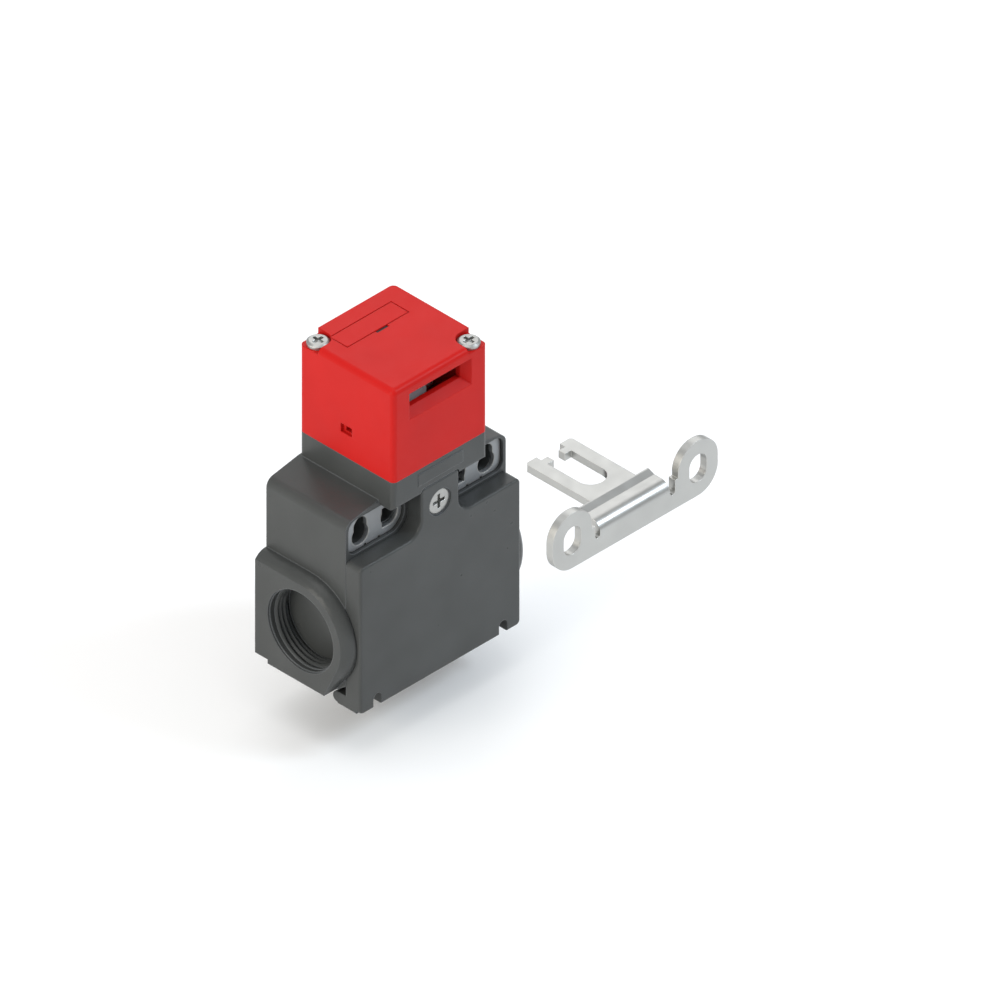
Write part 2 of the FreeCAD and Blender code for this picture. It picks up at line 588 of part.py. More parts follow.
def make_fixing_plate(side, word):
    body = new_body(word + "FixingPlate")
    front = "body_depth - plate_recess"
    drawing = plate_sketch(body, word + "PlateOutline", "XZ_Plane",
                           front + " - plate_thick", side, "0")
    pad(body, drawing, "plate_thick")
    start = "-(%s + 1)" % front
    through = "plate_thick + 2"
    outer = "outer_spacing / 2 * %d" % side
    inner = "inner_spacing / 2 * %d" % side
    primitive(body, "SubtractiveCylinder", word + "WideHole", outer, start,
              "hole_line - plate_hole_drop", BACKWARD, Radius="plate_hole_round", Height=through)
    slot_cut(body, word + "NeckHole", outer, "hole_line + plate_neck_rise", "plate_neck_width",
             "plate_neck_length", True, start, through)
    primitive(body, "SubtractiveCylinder", word + "InnerHole", inner, start, "hole_line",
              BACKWARD, Radius="plate_hole_round", Height=through)
    flat = inner if side > 0 else inner + " - plate_hole_flat"
    primitive(body, "SubtractiveBox", word + "InnerFlat", flat, start,
              "hole_line - plate_hole_round", Length="plate_hole_flat", Width=through,
              Height="2 * plate_hole_round")
    for spot in ("notch_far", "notch_near"):
        for level in ("plate_low", "plate_high"):
            primitive(body, "SubtractiveBox", word + "Nick",
                      "%s * %d - plate_notch / 2" % (spot, side), start,
                      level + " - plate_notch / 2", Length="plate_notch", Width=through,
                      Height="plate_notch")
    return body


# ---------------------------------------------------------------- cover

def make_cover():
    body = new_body("Cover")
    half = "body_width / 2"
    drawing = sketch(body, "CoverOutline", "XZ_Plane", "body_depth + seat_gap / 3")
    outline(drawing, [("-" + half, "0"), (half, "0"), (half, "ledge_height"),
                      ("tab_half", "ledge_height"), ("tab_half", "tab_top"),
                      ("-tab_half", "tab_top"), ("-tab_half", "ledge_height"),
                      ("-" + half, "ledge_height")])
    face = pad(body, drawing, "case_depth - body_depth - seat_gap / 3")
    scoops = round_edges(body, face, "Scoops", "tab_scoop", lambda b: along_y(b)
                         and near(abs(b.XMin), size("tab_half"))
                         and near(b.ZMin, size("ledge_height")))
    tops = round_edges(body, scoops, "TabCorners", "tab_round", lambda b: along_y(b)
                       and near(abs(b.XMin), size("tab_half")) and near(b.ZMin, size("tab_top")))
    corners = round_edges(body, tops, "CoverCorners", "cover_corner", lambda b: along_y(b)
                          and near(abs(b.XMin), size("body_width") / 2))
    round_edges(body, corners, "FrontEdge", "cover_edge", lambda b:
                near(b.YMin, -size("case_depth")) and near(b.YMax, -size("case_depth")))
    lip = sketch(body, "Lip", "YZ_Plane", "-" + half)
    rectangle(lip, "-(case_depth - cover_corner)", "0", "-hinge_back", "lip_height")
    lip_pad = pad(body, lip, "body_width")
    heel = sketch(body, "LipHeel", "YZ_Plane", "-" + half)
    circle(heel, "-hinge_back", "hinge_height", "lip_round")
    pad(body, heel, "body_width")
    inside = sketch(body, "CoverHollow", "XZ_Plane", "body_depth")
    rectangle(inside, "-cavity_half", "cavity_floor", "cavity_half", "cavity_roof")
    pocket(body, inside, "case_depth - body_depth - cover_wall", back=True)
    primitive(body, "SubtractiveCylinder", "ScrewHole", "0", "-(case_depth + 1)", "screw_height",
              BACKWARD, Radius="screw_radius + pin_gap", Height="case_depth")
    primitive(body, "SubtractiveCylinder", "ScrewPocket", "0", "-(case_depth + 1)",
              "screw_height", BACKWARD, Radius="screw_pocket_radius",
              Height="1 + screw_pocket_depth")
    primitive(body, "SubtractiveCone", "ScrewSeat", "0", "-(case_depth - screw_pocket_depth)",
              "screw_height", BACKWARD, Radius1="screw_head_radius + pin_gap",
              Radius2="screw_radius + pin_gap", Height="screw_head_depth")
    primitive(body, "SubtractiveCylinder", "RetainerSeat", "0", "-(body_depth - 1)",
              "screw_height", FORWARD, Radius="retainer_radius",
              Height="1 + seat_gap / 3 + retainer_thick")
    for side, word in ((1, "Right"), (-1, "Left")):
        middle = "notch_spacing / 2 * %d" % side
        primitive(body, "SubtractiveBox", word + "Notch", middle + " - notch_width / 2",
                  "-(case_depth + 1)", "-1", Length="notch_width", Width="case_depth",
                  Height="1 + notch_height - notch_width / 2")
        primitive(body, "SubtractiveCylinder", word + "NotchTop", middle, "-(case_depth + 1)",
                  "notch_height - notch_width / 2", BACKWARD, Radius="notch_width / 2",
                  Height="case_depth")
        primitive(body, "SubtractiveBox", word + "LugRoom", middle + " - notch_width / 2",
                  "-(hinge_back + lip_round + 2 * seat_gap)", "0", Length="notch_width",
                  Width="2 * lip_round + 4 * seat_gap", Height="lip_height + 1")
        primitive(body, "SubtractiveCylinder", word + "PinHole",
                  middle + " - hinge_pin_length / 2", "-hinge_back", "hinge_height", RIGHTWARD,
                  Radius="hinge_pin_radius", Height="hinge_pin_length")
    return body


def make_hinge_pins():
    pins = []
    for side in (1, -1):
        pins.append(rod("HingePin", "notch_spacing / 2 * %d - hinge_pin_length / 2" % side,
                        "-hinge_back", "hinge_height", "hinge_pin_radius", "hinge_pin_length",
                        RIGHTWARD))
    return group("HingePins", *pins)


def make_gasket():
    """A flat ring that lies in the case's mouth, behind the cover."""
    outer = box("GasketOuter", "-(cavity_half - gasket_edge)", "-body_depth",
                "cavity_floor + gasket_edge", "2 * (cavity_half - gasket_edge)", "gasket_thick",
                "cavity_roof - cavity_floor - 2 * gasket_edge")
    inner = box("GasketInner", "-(cavity_half - gasket_edge - gasket_width)",
                "-(body_depth + 1)", "cavity_floor + gasket_edge + gasket_width",
                "2 * (cavity_half - gasket_edge - gasket_width)", "gasket_thick + 2",
                "cavity_roof - cavity_floor - 2 * gasket_edge - 2 * gasket_width")
    rim = cut("GasketRing", outer, inner)
    place(rim, "0", "-gasket_shift", "0")
    return rim


def cross_recess(name, x, y, z, turn, arm, width, depth):
    """Two crossed wedges that make a screw's cross recess, with their mouth at x, y, z."""
    blades = []
    for quarter in (0, 90):
        blade = doc.addObject("Part::Wedge", name)
        bind(blade, Xmin="-" + arm, Xmax=arm, Zmin="-%s / 2" % width, Zmax="%s / 2" % width,
             Ymin="-" + depth, Ymax="0.2", X2min="-" + arm, X2max=arm,
             Z2min="-%s / 2" % width, Z2max="%s / 2" % width)
        spin = FreeCAD.Rotation(FreeCAD.Vector(0, 0, 1), quarter)
        lift = FreeCAD.Rotation(FreeCAD.Vector(1, 0, 0), 90)
        place(blade, x, y, z, turn.multiply(spin).multiply(lift))
        blades.append(blade)
    return blades


def make_cover_screw():
    front = "-(case_depth - screw_pocket_depth)"
    head = cone("CoverScrewHead", "0", front, "screw_height", "screw_head_radius",
                "screw_radius", "screw_head_depth", BACKWARD)
    shank = rod("CoverScrewShank", "0", front, "screw_height", "screw_radius", "screw_length",
                BACKWARD)
    blades = cross_recess("CoverScrewRecess", "0", front, "screw_height", FORWARD,
                          "cross_arm", "cross_width", "cross_depth")
    return cut_all("CoverScrewSolid", join("CoverScrewBlank", head, shank), *blades)


def make_washer(name, y, radius, hole, thick):
    disc = rod(name + "Disc", "0", y, "screw_height", radius, thick, BACKWARD)
    bore = rod(name + "Bore", "0", y + " - 1", "screw_height", hole, thick + " + 2", BACKWARD)
    return cut(name, disc, bore)


# ---------------------------------------------------------------- head

def make_head_shell():
    body = new_body("HeadShell")
    half = "head_width / 2"
    top = "(collar_top + head_height)"
    plan = sketch(body, "HeadPlan", "XY_Plane", "collar_top")
    rectangle(plan, "-" + half, "-case_depth", half, "0")
    block = pad(body, plan, "head_height")
    corners = round_edges(body, block, "HeadCorners", "head_corner", along_z)
    roof_level = size("collar_top") + size("head_height")
    round_edges(body, corners, "HeadTopEdge", "head_edge", lambda b:
                near(b.ZMin, roof_level) and near(b.ZMax, roof_level))
    hollow = sketch(body, "HeadHollow", "XY_Plane", "collar_top")
    rectangle(hollow, "-(%s - head_side_wall)" % half, "-(case_depth - head_front_wall)",
              half + " - head_side_wall", "-head_rear_wall")
    pocket(body, hollow, "head_height - head_roof", back=True)
    primitive(body, "SubtractiveBox", "EntryRecess", "-recess_half", "-(case_depth + 1)",
              "recess_low", Length="2 * recess_half", Width="recess_depth + 1",
              Height="recess_high - recess_low")
    primitive(body, "SubtractiveBox", "EntrySlot", "-slot_half", "-(case_depth + 1)",
              "tongue_height - slot_high / 2", Length="2 * slot_half",
              Width="head_front_wall + 2", Height="slot_high")
    for side, word in ((1, "Front"), (-1, "Rear")):
        x, y = head_screw_spot(side)
        floor = top + " - pocket_depth"
        wide = "pocket_side"
        corner_x = half + " - " + wide if side > 0 else "-(%s + 1)" % half
        corner_y = "-(case_depth + 1)" if side > 0 else "-" + wide
        well = primitive(body, "SubtractiveBox", word + "ScrewPocket", corner_x, corner_y, floor,
                         Length=wide + " + 1", Width=wide + " + 1", Height="pocket_depth + 1")
        turn_x = size("head_width") / 2 - size("pocket_side")
        turn_y = size("case_depth") - size("pocket_side") if side > 0 else size("pocket_side")
        round_edges(body, well, word + "PocketRound", "pocket_round", lambda b: along_z(b)
                    and near(b.XMin, side * turn_x) and near(b.YMin, -turn_y)
                    and near(b.ZMax, roof_level))
        primitive(body, "SubtractiveCylinder", word + "ScrewHole", x, y, "collar_top - 1",
                  Radius="head_screw_radius + head_screw_gap", Height="head_height + 2")
    primitive(body, "SubtractiveBox", "TopEntry", "-(plug_length / 2 + plug_gap)",
              "-(plug_rear + plug_width + plug_gap)", top + " - head_roof - 1",
              Length="plug_length + 2 * plug_gap", Width="plug_width + 2 * plug_gap",
              Height="head_roof + 2")
    primitive(body, "SubtractiveBox", "PrySlot", "pry_offset - pry_length / 2",
              "-(plug_rear + plug_width + plug_gap + pry_width)", top + " - pry_depth",
              Length="pry_length", Width="pry_width + plug_gap", Height="pry_depth + 1")
    primitive(body, "SubtractiveCylinder", "AxleBore", "-axle_half", "-rotor_back",
              "tongue_height - hook_arm", RIGHTWARD, Radius="axle_radius",
              Height="2 * axle_half")
    for side, word in ((1, "Right"), (-1, "Left")):
        start = half + " - window_depth" if side > 0 else "-(%s + 1)" % half
        primitive(body, "SubtractiveBox", word + "Window", start, "-window_front", "window_low",
                  Length="window_depth + 1", Width="window_wide", Height="window_high")
    return body


def make_blanking_plug():
    top = "(collar_top + head_height)"
    lid = box("PlugLid", "-plug_length / 2", "-(plug_rear + plug_width)", top + " - plug_lid",
              "plug_length", "plug_width", "plug_lid")
    foot = box("PlugFoot", "-(plug_length / 2 - plug_step)",
               "-(plug_rear + plug_width - plug_step)", top + " - head_roof",
               "plug_length - 2 * plug_step", "plug_width - 2 * plug_step",
               "head_roof - plug_lid")
    return join("BlankingPlugSolid", lid, foot)


def make_head_screws():
    screws = []
    top = "collar_top + head_height - pocket_depth"
    for side in (1, -1):
        x, y = head_screw_spot(side)
        shank = rod("HeadScrewShank", x, y, "collar_top - head_screw_depth",
                    "head_screw_radius", "head_height + head_screw_depth - pocket_depth")
        head = rod("HeadScrewHead", x, y, top, "head_screw_head_radius",
                   "head_screw_head_height - head_screw_dome")
        dome = cone("HeadScrewDome", x, y,
                    top + " + head_screw_head_height - head_screw_dome",
                    "head_screw_head_radius", "head_screw_head_radius - head_screw_dome * 1.4",
                    "head_screw_dome")
        blank = join("HeadScrewBlank", shank, head, dome)
        blades = cross_recess("HeadScrewRecess", x, y, top + " + head_screw_head_height", UP,
                              "head_cross_arm", "cross_width", "head_cross_depth")
        screws.append(cut_all("HeadScrew", blank, *blades))
    return group("HeadScrewPair", *screws)


def make_head_base():
    """The floor of the head: a plate on the collar, with a guide for the plunger."""
    half = "head_width / 2 - head_side_wall - seat_gap"
    depth = "case_depth - head_front_wall - head_rear_wall - 2 * seat_gap"
    plate = box("HeadFloor", "-(%s)" % half, "-(case_depth - head_front_wall - seat_gap)",
                "collar_top", "2 * (%s)" % half, depth, "base_thick")
    hub = rod("HeadHub", "0", "-rotor_back", "collar_top", "base_hub_radius",
              "base_thick + base_hub_height")
    guide = rod("HeadGuide", "0", "-rotor_back", "collar_top - 1", "stem_radius + stem_gap",
                "base_thick + base_hub_height + 2")
    return cut("HeadBaseSolid", join("HeadBaseBlank", plate, hub), guide)


def make_axle():
    return rod("AxleRod", "-axle_half", "-rotor_back", "tongue_height - hook_arm",
               "axle_radius", "2 * axle_half", RIGHTWARD)


def hook_angle():
    """How far the rotor turns either side of upright while a hook crosses it, in radians."""
    return math.atan2(size("lock_stroke") / 2, size("hook_arm"))


def make_rotor():
    """Cam drum: a full web between the hooks, notched lobes beside it and slim hubs outside."""
    outer = size("rotor_radius")
    swing = 2 * hook_angle()
    lift = size("cam_lift")
    dwell = swing + math.radians(size("cam_dwell"))

    def on_cam(angle, radius):
        """A point of the web; angle counts from straight down towards the rear."""
        return FreeCAD.Vector(0, math.sin(angle) * radius, -math.cos(angle) * radius)

    spiral_points = [on_cam(swing * k / 12, outer - lift * k / 12) for k in range(13)]
    spiral = Part.BSplineCurve()
    spiral.interpolate(spiral_points)
    base = outer - lift
    dwell_arc = Part.Arc(on_cam(swing, base), on_cam((swing + dwell) / 2, base),
                         on_cam(dwell, base))
    step = Part.LineSegment(on_cam(dwell, base), on_cam(dwell, outer))
    rim_middle = (dwell + math.tau) / 2
    rim = Part.Arc(on_cam(dwell, outer), on_cam(rim_middle, outer), on_cam(math.tau, outer))
    profile = Part.Wire([curve.toShape() for curve in (spiral, dwell_arc, step, rim)])
    web = Part.Face(profile).extrude(FreeCAD.Vector(2 * size("web_half"), 0, 0))
    web.translate(FreeCAD.Vector(-size("web_half"), 0, 0))

    along = FreeCAD.Vector(1, 0, 0)
    lean = hook_angle()
    solids = [web]
    lobe_wide = size("lobe_half") - size("web_half")
    notch_tall = outer - size("notch_floor") + 1
    for side in (1, -1):
        start = size("web_half") if side > 0 else -size("lobe_half")
        lobe = Part.makeCylinder(outer, lobe_wide, FreeCAD.Vector(start, 0, 0), along)
        notch = Part.makeBox(lobe_wide, 2 * size("notch_half"), notch_tall,
                             FreeCAD.Vector(start, -size("notch_half"), size("notch_floor")))
        notch.rotate(FreeCAD.Vector(), along, math.degrees(lean))
        mouth = Part.makeBox(lobe_wide, outer, outer,
                             FreeCAD.Vector(start, -size("lock_stroke") / 2 - outer,
                                            size("mouth_floor")))
        solids.append(lobe.cut(notch).cut(mouth))
        hub_start = size("lobe_half") if side > 0 else -size("hub_half")
        hub_wide = size("hub_half") - size("lobe_half")
        hub = Part.makeCylinder(size("hub_radius"), hub_wide, FreeCAD.Vector(hub_start, 0, 0),
                                along)
        cup_start = size("lobe_half") + size("hub_floor") if side > 0 else -size("hub_half") - 1
        cup = Part.makeCylinder(size("hub_bore"), hub_wide - size("hub_floor") + 1,
                                FreeCAD.Vector(cup_start, 0, 0), along)
        solids.append(hub.cut(cup))
    drum = solids[0].multiFuse(solids[1:])
    bore = Part.makeCylinder(size("axle_radius") + size("axle_gap"), 2 * size("hub_half") + 2,
                             FreeCAD.Vector(-size("hub_half") - 1, 0, 0), along)
    rotor = doc.addObject("Part::Feature", "RotorDrum")
    rotor.Shape = drum.cut(bore).removeSplitter()
    return place(rotor, "0", "-rotor_back", "tongue_height - hook_arm")


def make_rotor_springs():
    springs = []
    wire = size("spring_wire")
    for side in (1, -1):
        inner = size("lobe_half") + size("hub_floor") + 2 * wire
        outer = size("spring_end")
        turns = size("spring_turns")
        spring = coil("RotorSpring", size("rotor_spring_radius"), wire,
                      (outer - inner) / turns, turns)
        place(spring, "%s (lobe_half + hub_floor + 2 * spring_wire)" % ("" if side > 0 else "-"),
              "-rotor_back", "tongue_height - hook_arm", RIGHTWARD if side > 0 else LEFTWARD)
        springs.append(spring)
    return group("RotorSpringPair", *springs)


def make_lock_slide():
    """A fork behind the slot: the key's tips push its two arms back together."""
    front = "-(rotor_back + lock_stroke / 2 - hook_tip_lead)"
    low = "tongue_height - slide_thick / 2"
    arms = []
    for side in (1, -1):
        left = "slide_arm" if side > 0 else "-slide_half"
        arms.append(box("SlideArm", left, front, low, "slide_half - slide_arm",
                        "slide_length", "slide_thick"))
    bridge = box("SlideBridge", "-slide_half", front + " + slide_length - slide_bridge", low,
                 "2 * slide_half", "slide_bridge", "slide_thick")
    return join("LockSlideSolid", bridge, *arms)


def make_slide_springs():
    springs = []
    for side in (1, -1):
        start = -(size("rotor_back") + size("lock_stroke") / 2 - size("hook_tip_lead")) + \
            size("slide_length")
        room = -size("head_rear_wall") - start - 2 * size("slide_spring_wire") - 0.1
        spring = coil("SlideSpring", size("slide_spring_radius"), size("slide_spring_wire"),
                      room / size("slide_spring_turns"), size("slide_spring_turns"))
        place(spring, "slide_spring_offset * %d" % side,
              "-(rotor_back + lock_stroke / 2 - hook_tip_lead) + slide_length"
              " + slide_spring_wire + 0.05", "tongue_height", BACKWARD)
        springs.append(spring)
    return group("SlideSpringPair", *springs)


# ---------------------------------------------------------------- key

def make_key():
    """One bent sheet: a slotted plate below the tongue plane, a joggled shoulder, two prongs."""
    body = new_body("ActuatorKey")
    plate_face = "(key_away + case_depth)"
    level = "tongue_height"
    bend_level = "(tongue_height - joggle_drop)"
    half = "(key_length / 2)"
    plate = sketch(body, "KeyPlate", "XZ_Plane", plate_face)
    rectangle(plate, "-" + half, level + " - ear_radius", half, level + " + ear_radius")
    sheet_pad = pad(body, plate, "key_thick")
    round_edges(body, sheet_pad, "EarRounds", "ear_round", along_y)
    gap = sketch(body, "WebGap", "XZ_Plane", plate_face + " + key_thick")
    rectangle(gap, "-web_gap_half", bend_level + " + key_thick / 2", "web_gap_half",
              level + " + ear_radius + 1")
    gap_cut = pocket(body, gap, "key_thick")
    round_edges(body, gap_cut, "EarInnerRounds", "ear_inner_round", lambda b: along_y(b)
                and near(abs(b.XMin), size("web_gap_half"))
                and b.ZMin > size("tongue_height") + size("ear_radius") - 0.1)
    for side, word in ((1, "Right"), (-1, "Left")):
        relief = "(shoulder_width / 2 + bend_relief) * %d" % side
        foot = bend_level + " + key_thick / 2 - key_thick - bend_radius"
        primitive(body, "SubtractiveCylinder", word + "BendRelief", relief,
                  "-(%s + key_thick + 1)" % plate_face, foot, BACKWARD,
                  Radius="bend_relief", Height="key_thick + 2")
        primitive(body, "SubtractiveBox", word + "BendNotch", relief + " - bend_relief",
                  "-(%s + key_thick + 1)" % plate_face, foot, Length="2 * bend_relief",
                  Width="key_thick + 2", Height="key_thick + bend_radius + 1")

    root = "-%s" % plate_face
    shoulder = root + " + shoulder_reach"
    tip = root + " + prong_reach"
    drop = root + " + joggle_start"
    flat = root + " + joggle_start + joggle_run"
    profile = sketch(body, "TongueProfile", "YZ_Plane", "-shoulder_width / 2")
    outline(profile, [(root + " - key_thick / 2", bend_level + " - key_thick / 2"),
                      (drop, bend_level + " - key_thick / 2"), (flat, level + " - key_thick / 2"),
                      (tip, level + " - key_thick / 2"), (tip, level + " + key_thick / 2"),
                      (flat, level + " + key_thick / 2"), (drop, bend_level + " + key_thick / 2"),
                      (root + " - key_thick / 2", bend_level + " + key_thick / 2")])
    tongue = pad(body, profile, "shoulder_width")
    bend_top = size("tongue_height") - size("joggle_drop") + size("key_thick") / 2
    bend_under = bend_top - size("key_thick")
    plate_y = -(size("key_away") + size("case_depth"))
    inside = round_edges(body, tongue, "BendInside", "bend_radius", lambda b: along_x(b)
                         and near(b.ZMin, bend_under) and near(b.YMin, plate_y))
    round_edges(body, inside, "BendOutside", "key_thick + bend_radius", lambda b:
                          along_x(b) and near(b.ZMin, bend_top)
                          and near(b.YMin, plate_y - size("key_thick"))
                          and near(b.XMax, size("shoulder_width") / 2))

    hook = tip + " - hook_behind_tip"
    claw = "fork_half - hook_size"
    apex = root + " + fork_apex + fork_half"
    right = [("fork_half", tip + " + 1"), ("fork_half", hook), (claw, hook),
             (claw, hook + " - hook_size"), ("fork_half", hook + " - hook_size"),
             ("fork_half", apex)]
    left = [("-(%s)" % across, along) for across, along in reversed(right)]
    fork = sketch(body, "ForkOpening", "XY_Plane", level + " - key_thick")
    outline(fork, right + left)
    pocket(body, fork, "2 * key_thick", back=True)
    primitive(body, "SubtractiveCylinder", "ForkEnd", "0", apex, level + " - key_thick",
              Radius="fork_half", Height="2 * key_thick")
    for side, word in ((1, "Right"), (-1, "Left")):
        waist = "prong_outer" if side > 0 else "-(shoulder_width / 2 + 1)"
        primitive(body, "SubtractiveBox", word + "Waist", waist, shoulder,
                             level + " - key_thick",
                             Length="shoulder_width / 2 + 1 - prong_outer",
                             Width="prong_reach", Height="2 * key_thick")
        slot_cut(body, word + "KeyHole", "key_hole_spacing / 2 * %d" % side, level,
                 "key_hole_width", "key_hole_length", True,
                 "-(%s + key_thick + 1)" % plate_face, "key_thick + 2")
    tip_y = plate_y + size("prong_reach")
    doc.recompute()
    round_edges(body, body.Tip, "TipChamfers", "tip_chamfer", lambda b: along_z(b)
                and near(b.YMin, tip_y) and near(abs(b.XMin), size("prong_outer")), "Chamfer")
    return body


# ---------------------------------------------------------------- plunger

def make_plunger():
    top = "tongue_height - hook_arm - rotor_radius - cam_gap"
    stem = rod("PlungerStem", "0", "-rotor_back", "plunger_bottom", "stem_radius",
               top + " - stem_tip - plunger_bottom")
    tip = cone("PlungerTip", "0", "-rotor_back", top + " - stem_tip", "stem_radius",
               "stem_radius - stem_tip", "stem_tip")
    flange = rod("PlungerFlange", "0", "-rotor_back", "flange_top - flange_thick",
                 "flange_radius", "flange_thick")
    return join("PlungerSolid", stem, tip, flange)


def make_plunger_spring():
    room = size("flange_top") - size("flange_thick") - size("spring_well_floor") - \
        2 * size("plunger_spring_wire") - size("contact_gap")
    spring = coil("PlungerSpring", size("plunger_spring_radius"), size("plunger_spring_wire"),
                  room / size("plunger_spring_turns"), size("plunger_spring_turns"))
    return place(spring, "0", "-rotor_back",
                 "spring_well_floor + plunger_spring_wire + contact_gap / 2")


def make_seal():
    ring = rod("SealRing", "0", "-rotor_back", "cavity_roof", "seal_radius", "seal_height")
    hole = rod("SealHole", "0", "-rotor_back", "cavity_roof - 1", "stem_radius + seal_gap",
               "seal_height + 2")
    return cut("PlungerSealSolid", ring, hole)


# ---------------------------------------------------------------- contact block

UPPER_STRIP = "(bridge_high + bridge_thick / 2 + pad_height + cam_lift + contact_gap)"
LOWER_STRIP = "(bridge_low - bridge_thick / 2 - pad_height - contact_gap)"
UPPER_SCREW = UPPER_STRIP + " + strip_thick + terminal_rise"
LOWER_SCREW = LOWER_STRIP + " - strip_thick - terminal_rise"
TERMINALS = [(side, screw) for side in (1, -1) for screw in (UPPER_SCREW, LOWER_SCREW)]
CHANNEL_BACK = "(rotor_back - carriage_depth / 2 - carriage_gap)"


def make_contact_base():
    """The block that carries the fixed contacts: a back, four towers, cheeks and a ledge."""
    back = box("BlockBack", "-block_half", "-" + CHANNEL_BACK, "block_low", "2 * block_half",
               CHANNEL_BACK + " - block_post_front", "block_high - block_low")
    solids = [back]
    for side in (1, -1):
        left = "tower_inner" if side > 0 else "-block_half"
        for low, high in (("block_low", LOWER_STRIP + " - strip_thick"),
                          (UPPER_STRIP + " + strip_thick", "block_high")):
            solids.append(box("Tower", left, "-tower_front", low, "block_half - tower_inner",
                              "tower_front - " + CHANNEL_BACK, "%s - (%s)" % (high, low)))
        cheek = "carriage_half + carriage_gap"
        solids.append(box("Cheek", cheek if side > 0 else "-(%s + cheek_thick)" % cheek,
                          "-cheek_front", "cheek_low", "cheek_thick",
                          "cheek_front - " + CHANNEL_BACK, "cheek_high - cheek_low"))
    solids.append(box("SpringLedge", "-(carriage_half + carriage_gap)", "-cheek_front",
                      "block_low", "2 * (carriage_half + carriage_gap)",
                      "cheek_front - " + CHANNEL_BACK, "ledge_thick"))
    tools = []
    for side in (1, -1):
        x = "block_screw_offset * %d" % side
        tools.append(rod("BlockScrewBore", x, "-(block_post_front - 1)", "block_screw_height",
                         "block_screw_radius", CHANNEL_BACK, FORWARD))
        tools.append(rod("BlockScrewSink", x, "-(%s - block_screw_head_height)" % CHANNEL_BACK,
                         "block_screw_height", "block_screw_head + pin_gap",
                         "block_screw_head_height + 1", FORWARD))
    for side, height in TERMINALS:
        tools.append(rod("TerminalBore", "terminal_spacing / 2 * %d" % side,
                         "-(tower_front - terminal_grip)", height, "terminal_screw_radius",
                         "terminal_grip + 1", FORWARD))
    return cut_all("ContactBaseSolid", join("BlockBlank", *solids), *tools)


def make_fixed_contacts():
    """Four strips, each with a leg forward to the plate that its terminal screw clamps."""
    strips = []
    for side, height in TERMINALS:
        upper = height == UPPER_SCREW
        low = UPPER_STRIP if upper else LOWER_STRIP + " - strip_thick"
        inner = "tower_inner + 0.2"
        strip = box("Strip", inner if side > 0 else "-strip_outer",
                    "-(rotor_back + bridge_width / 2)", low, "strip_outer - (%s)" % inner,
                    "bridge_width", "strip_thick")
        leg_left = "strip_outer - leg_width" if side > 0 else "-strip_outer"
        leg = box("StripLeg", leg_left, "-(tower_front + terminal_plate)", low, "leg_width",
                  "tower_front + terminal_plate - rotor_back", "strip_thick")
        plate_left = "strip_outer - plate_width" if side > 0 else "-strip_outer"
        plate = box("TerminalPlate", plate_left, "-(tower_front + terminal_plate)",
                    low if upper else low + " + strip_thick - terminal_tall", "plate_width",
                    "terminal_plate", "terminal_tall")
        hole = rod("PlateBore", "terminal_spacing / 2 * %d" % side, "-(tower_front - 1)", height,
                   "terminal_screw_radius", "terminal_plate + 2", FORWARD)
        strips.append(cut("FixedContact", join("StripBlank", strip, leg, plate), hole))
    return group("FixedContactSet", *strips)


def make_terminal_clamps():
    clamps = []
    for side, height in TERMINALS:
        x = "terminal_spacing / 2 * %d" % side
        square = box("ClampSquare", x + " - clamp_size / 2",
                     "-(tower_front + terminal_plate + clamp_thick)", height
                     + " - clamp_size / 2", "clamp_size", "clamp_thick", "clamp_size")
        hole = rod("ClampBore", x, "-tower_front", height, "terminal_screw_radius",
                   "terminal_plate + clamp_thick + 1", FORWARD)
        clamps.append(cut("Clamp", square, hole))
    return group("TerminalClampSet", *clamps)


def slotted_screw(name, x, y, z, head_radius, head_height, radius, length):
    """A cheese-head screw whose head's underside is at y and whose shank runs to +Y."""
    head = rod(name + "Head", x, y, z, head_radius, head_height, FORWARD)
    shank = rod(name + "Shank", x, y, z, radius, length, BACKWARD)
    slot = box(name + "Slot", "%s - %s" % (x, head_radius), "%s - %s" % (y, head_height),
               "%s - driver_slot / 2" % z, "2 * " + head_radius, "driver_slot", "driver_slot")
    return cut(name, join(name + "Blank", head, shank), slot)


def make_terminal_screws():
    screws = []
    for side, height in TERMINALS:
        screws.append(slotted_screw("TerminalScrew", "terminal_spacing / 2 * %d" % side,
                                    "-(tower_front + terminal_plate + clamp_thick)", height,
                                    "terminal_head_radius", "terminal_head_height",
                                    "terminal_screw_radius", "terminal_screw_length"))
    return group("TerminalScrewSet", *screws)


def make_block_screws():
    screws = []
    for side in (1, -1):
        screws.append(slotted_screw("BlockScrew", "block_screw_offset * %d" % side,
                                    "-(%s - block_screw_head_height)" % CHANNEL_BACK,
                                    "block_screw_height", "block_screw_head",
                                    "block_screw_head_height", "block_screw_radius",
                                    CHANNEL_BACK + " - block_screw_head_height - rear_wall"
                                    " - seat_gap"))
    return group("BlockScrewPair", *screws)


def make_earth_screw():
    return slotted_screw("EarthScrewSolid", "earth_x", "-earth_post_front", "earth_height",
                         "earth_head_radius", "earth_head_height", "earth_screw_radius",
                         "earth_post_front - rear_wall - 1 - seat_gap")


def make_carriage():
    body = box("CarriageBody", "-carriage_half", "-(rotor_back + carriage_depth / 2)",
               "carriage_low", "2 * carriage_half", "carriage_depth",
               "carriage_top - carriage_low")
    windows = []
    for height in ("bridge_high", "bridge_low"):
        windows.append(box("CarriageWindow", "-(carriage_half + 1)",
                           "-(rotor_back + bridge_width / 2)", height + " - bridge_thick / 2",
                           "2 * carriage_half + 2", "bridge_width", "bridge_thick"))
    return cut_all("CarriageSolid", body, *windows)


